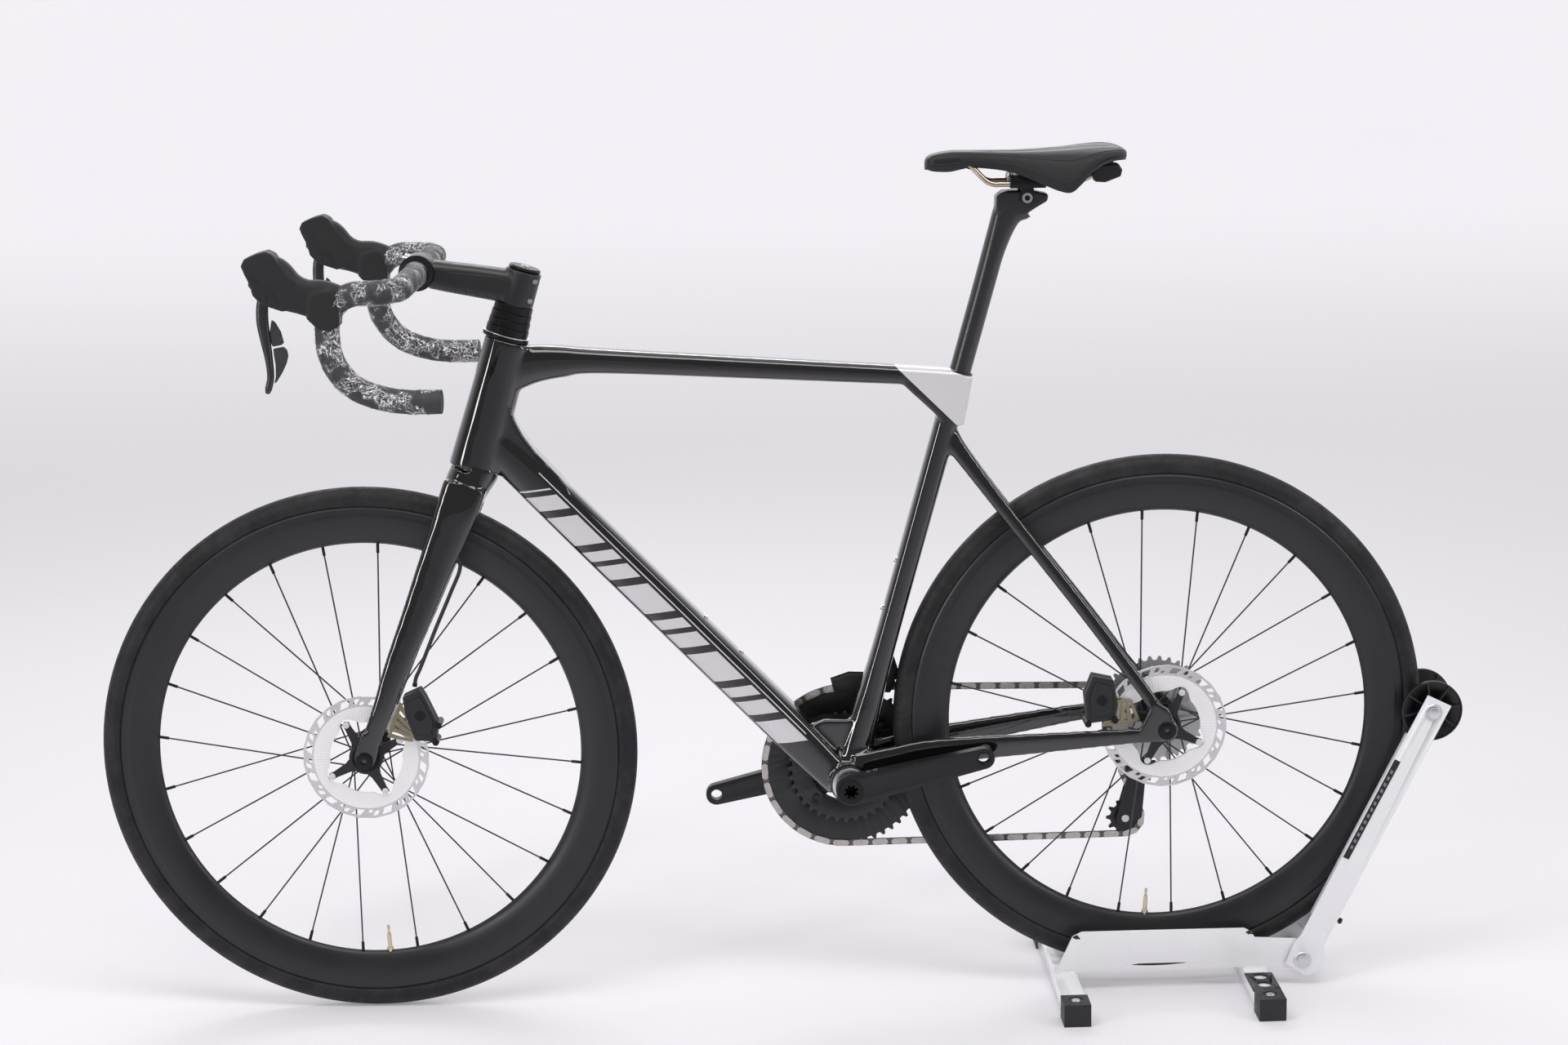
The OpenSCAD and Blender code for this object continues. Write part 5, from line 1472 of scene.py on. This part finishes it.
base = [closed_shell(saddle_surface(5.0, 4.9), saddle_surface(7.0, 7.4), 53)]
piece("saddle_base", base, plastic, "saddle", edge=50)
rails = []
for side in (-1, 1):
    line = catmull([(-150, side * 11, 1072.5), (-160, side * 13.5, 1067), (-171, side * 18.5, 1055.5),
                    (-179, side * 21.2, 1048.6), (-187, side * 22, 1046), (-192, side * 22, 1046),
                    (-204, side * 22, 1046),
                    (-240, side * 22, 1046), (-264, side * 22, 1046), (-272, side * 22, 1046),
                    (-287, side * 22.8, 1047.4),
                    (-302, side * 25, 1052.5), (-316, side * 27, 1060)], 6)
    rails.append(pipe([tuple(p) for p in line], 3.5, 20))
piece("saddle_rails_tube", rails, rail_metal, "saddle", ("saddle_rails",))
blocks = [extrude([(-309, 1048), (-322, 1047), (-341, 1054), (-343, 1062), (-338, 1070), (-312, 1068),
                   (-305, 1058)], s * 27 - 9, s * 27 + 9)
          for s in (-1, 1)]
blocks.append(extrude([(-318, 1056), (-340, 1058), (-341, 1066), (-320, 1066)], -30, 30))
blocks.append(extrude([(-146, 1068), (-162, 1062), (-168, 1070), (-160, 1076), (-142, 1076)], -15, 15))
piece("saddle_rail_blocks", blocks, panel_black, "saddle", edge=35, bevel=1.8, segments=3)

# ---- stand ----
dress("stand_side_plates", white_paint, 0.5, 2)
dress("stand_cross_tubes", white_paint, 1.3, 3)
dress("stand_feet", foot_rubber, 2.2, 4)
dress("foot_cover", plastic, 0.7, 2)
dress("arm", white_paint, 0.6, 2)
dress("arm_bolts", zinc, 0.6, 2)
dress("arm_spring", steel)
dress("roller_left", plastic, 0.35, 2)
dress("roller_right", plastic, 0.35, 2)

label_grey = finish("label_grey", (0.22, 0.22, 0.23), 0.5).material
LEAN = (Vector((-747, 0, 363)) - Vector((-585, 0, 35))).normalized()
ACROSS_ARM = Vector((LEAN.z, 0, -LEAN.x))


def on_arm(s, ahead, y):
    return Vector((-585, y, 35)) + LEAN * s + ACROSS_ARM * ahead


strip = [on_arm(s, ahead, 40.05) for s, ahead in ((146, 8.2), (290, 8.2), (290, 16.4), (146, 16.4))]
piece("arm_label_strip", [skin([strip, [p + Vector((0, 0.3, 0)) for p in strip]])], panel_black, "arm",
      edge=30)
marks = []
for k in range(13):
    foot = 160 + k * 9.2
    mark = [on_arm(foot + u, v, 40.4) for u, v in ((0, 10.6), (4.4, 10.6), (5.2, 14.0), (0.8, 14.0))]
    marks.append(skin([mark, [p + Vector((0, 0.15, 0)) for p in mark]]))
piece("arm_label_marks", marks, label_grey, "arm", edge=30)
piece("arm_stop", [pipe([on_arm(66, -17, 33), on_arm(66, -21, 33), on_arm(66, -21.4, 33),
                         on_arm(66, -24.5, 33)],
                        [2.4, 2.4, 4.2, 3.6], 24)], foot_rubber, "arm", edge=40)
washers = []
for c in (Vector((-585, 0, 35)), Vector((-747, 0, 363))):
    for s in (-1, 1):
        y0 = s * 40.1
        washers.append(lathe(c, [(5.2, y0), (10.6, y0), (10.9, y0 + s * 0.5), (10.2, y0 + s * 1.2),
                                 (5.2, y0 + s * 1.2)], 48))
piece("arm_washers", washers, zinc, "arm", edge=35)
# Painted shade: thin dark sheets on the side plates stand in for the shaded openings of the slots.
slot_shade_sheets = []
for x in (-291, -516):
    for s in (-1, 1):
        y = s * 36.05
        slot_shade_sheets.append(extrude([(x - 4.5, 70.5), (x + 4.5, 72.5), (x + 4.5, 74.8), (x - 4.5, 72.8)],
                             min(y, y + s * 0.25), max(y, y + s * 0.25)))
piece("plate_slot_shade", slot_shade_sheets, panel_black, "stand")
beads = []
rnd = random.Random(5)
for x in (-276, -523):
    for s in (-1, 1):
        # Two wavy beads, one laid over the other
        for _ in range(2):
            line = [(x - 14 + 28 * k / 14, s * 36.8, 25.3 + rnd.uniform(-0.25, 0.25))
                    for k in range(15)]
            beads.append(pipe(line, [1.2 + 0.35 * math.sin(k * 2.4) for k in range(15)], 10))
piece("stand_welds", beads, white_paint, "stand")
screws = []
for x in (-276, -523):
    for s in (-1, 1):
        screws.append(pipe([(x, s * 142, 28.2), (x, s * 142, 28.9)], [5.6, 5.2], 32))
        screws.append(pipe([(x, s * 142, 28.6), (x, s * 142, 29.0)], [2.6, 2.6], 6))
piece("foot_screws", screws, zinc, "stand", edge=35)

# ---- stage, light and camera ----
def floor_finish():
    n = Nodes("studio_floor")
    pale = n.mix(n.noise(0.7, 2.0), (0.62, 0.607, 0.63), (0.65, 0.637, 0.66))
    # Painted shade: towards the camera the floor's colour darkens and its glow weakens.
    ahead = n.ramp(n.axes()[1], 0.35, 2.2)
    # Painted light: the floor glows although it is no lamp, more strongly far behind the bicycle.
    far_painted_glow = n.ramp(n.math("MULTIPLY", n.axes()[1], -1.0), 0.8, 9.0, 0.0, 0.30)
    painted_glow = n.math("ADD", n.ramp(ahead, 0.0, 1.0, 0.19, 0.10), far_painted_glow)
    n.set(Base_Color=n.mix(ahead, pale, (0.46, 0.45, 0.47)), Roughness=0.6, Specular_IOR_Level=0.2)
    n.set(Emission_Color=(0.97, 0.955, 1.0, 1.0), Emission_Strength=painted_glow)
    return n.material


floor_me = bpy.data.meshes.new("floor")
ring = [(30 * math.cos(math.tau * i / 96), 30 * math.sin(math.tau * i / 96), -0.0002)
        for i in range(96)]
floor_me.from_pydata(ring, [], [tuple(range(96))])
floor_me.materials.append(floor_finish())
floor = bpy.data.objects.new("floor", floor_me)
scene.collection.objects.link(floor)

# The studio is bright behind the bicycle and dim in front of it, so the lacquer stays dark
world = bpy.data.worlds.new("studio")
scene.world = world
world.use_nodes = True
sky = world.node_tree
direction = sky.nodes.new("ShaderNodeTexCoord")
split = sky.nodes.new("ShaderNodeSeparateXYZ")
fade = sky.nodes.new("ShaderNodeMapRange")
fade.interpolation_type = "SMOOTHSTEP"
for socket, v in zip(list(fade.inputs)[1:5], (-0.35, 0.45, 0.91, 0.22)):
    socket.default_value = v
sky.links.new(direction.outputs["Generated"], split.inputs[0])
sky.links.new(split.outputs["Y"], fade.inputs[0])
sky.links.new(fade.outputs[0], sky.nodes["Background"].inputs["Strength"])
sky.nodes["Background"].inputs["Color"].default_value = (0.985, 0.965, 1.0, 1)
scene.view_settings.view_transform = "Standard"


def soft_box(name, place, look_at, width, height, power):
    light = bpy.data.lights.new(name, "AREA")
    light.shape = "RECTANGLE"
    light.size, light.size_y, light.energy = width, height, power
    light.color = (1.0, 0.985, 1.0)
    ob = bpy.data.objects.new(name, light)
    ob.location = place
    ob.rotation_euler = (Vector(look_at) - Vector(place)).to_track_quat("-Z", "Y").to_euler()
    scene.collection.objects.link(ob)


soft_box("key_top", (0.2, 1.2, 3.2), (0, 0, 0.4), 3.6, 1.2, 54)
soft_box("side_left", (2.8, 2.2, 1.5), (0.1, 0, 0.5), 0.35, 2.4, 34)
soft_box("side_right", (-2.8, 1.6, 1.6), (-0.1, 0, 0.5), 0.35, 2.2, 24)
soft_box("back_strip", (0.4, -2.2, 2.2), (0, 0, 0.5), 2.6, 0.5, 20)

cam_data = bpy.data.cameras.new("camera")
cam_data.lens = 71.52
cam_data.sensor_width = 36.0
cam_data.clip_end = 200
camera = bpy.data.objects.new("camera", cam_data)
# Place in metres and angles in radians, fitted to the outlines of the wheels and rotors
CAMERA_AT = (0.2358, 3.8325, 1.4543)
yaw, pitch, roll = -0.0414, 0.2135, -0.0152
forward = Vector((math.sin(yaw) * math.cos(pitch), -math.cos(yaw) * math.cos(pitch), -math.sin(pitch)))
right = forward.cross(Vector((0, 0, 1))).normalized()
up = right.cross(forward)
right_r = right * math.cos(roll) + up * math.sin(roll)
up_r = up * math.cos(roll) - right * math.sin(roll)
turn = Matrix((right_r, up_r, -forward)).transposed().to_4x4()
camera.matrix_world = Matrix.Translation(CAMERA_AT) @ turn
scene.collection.objects.link(camera)
scene.camera = camera
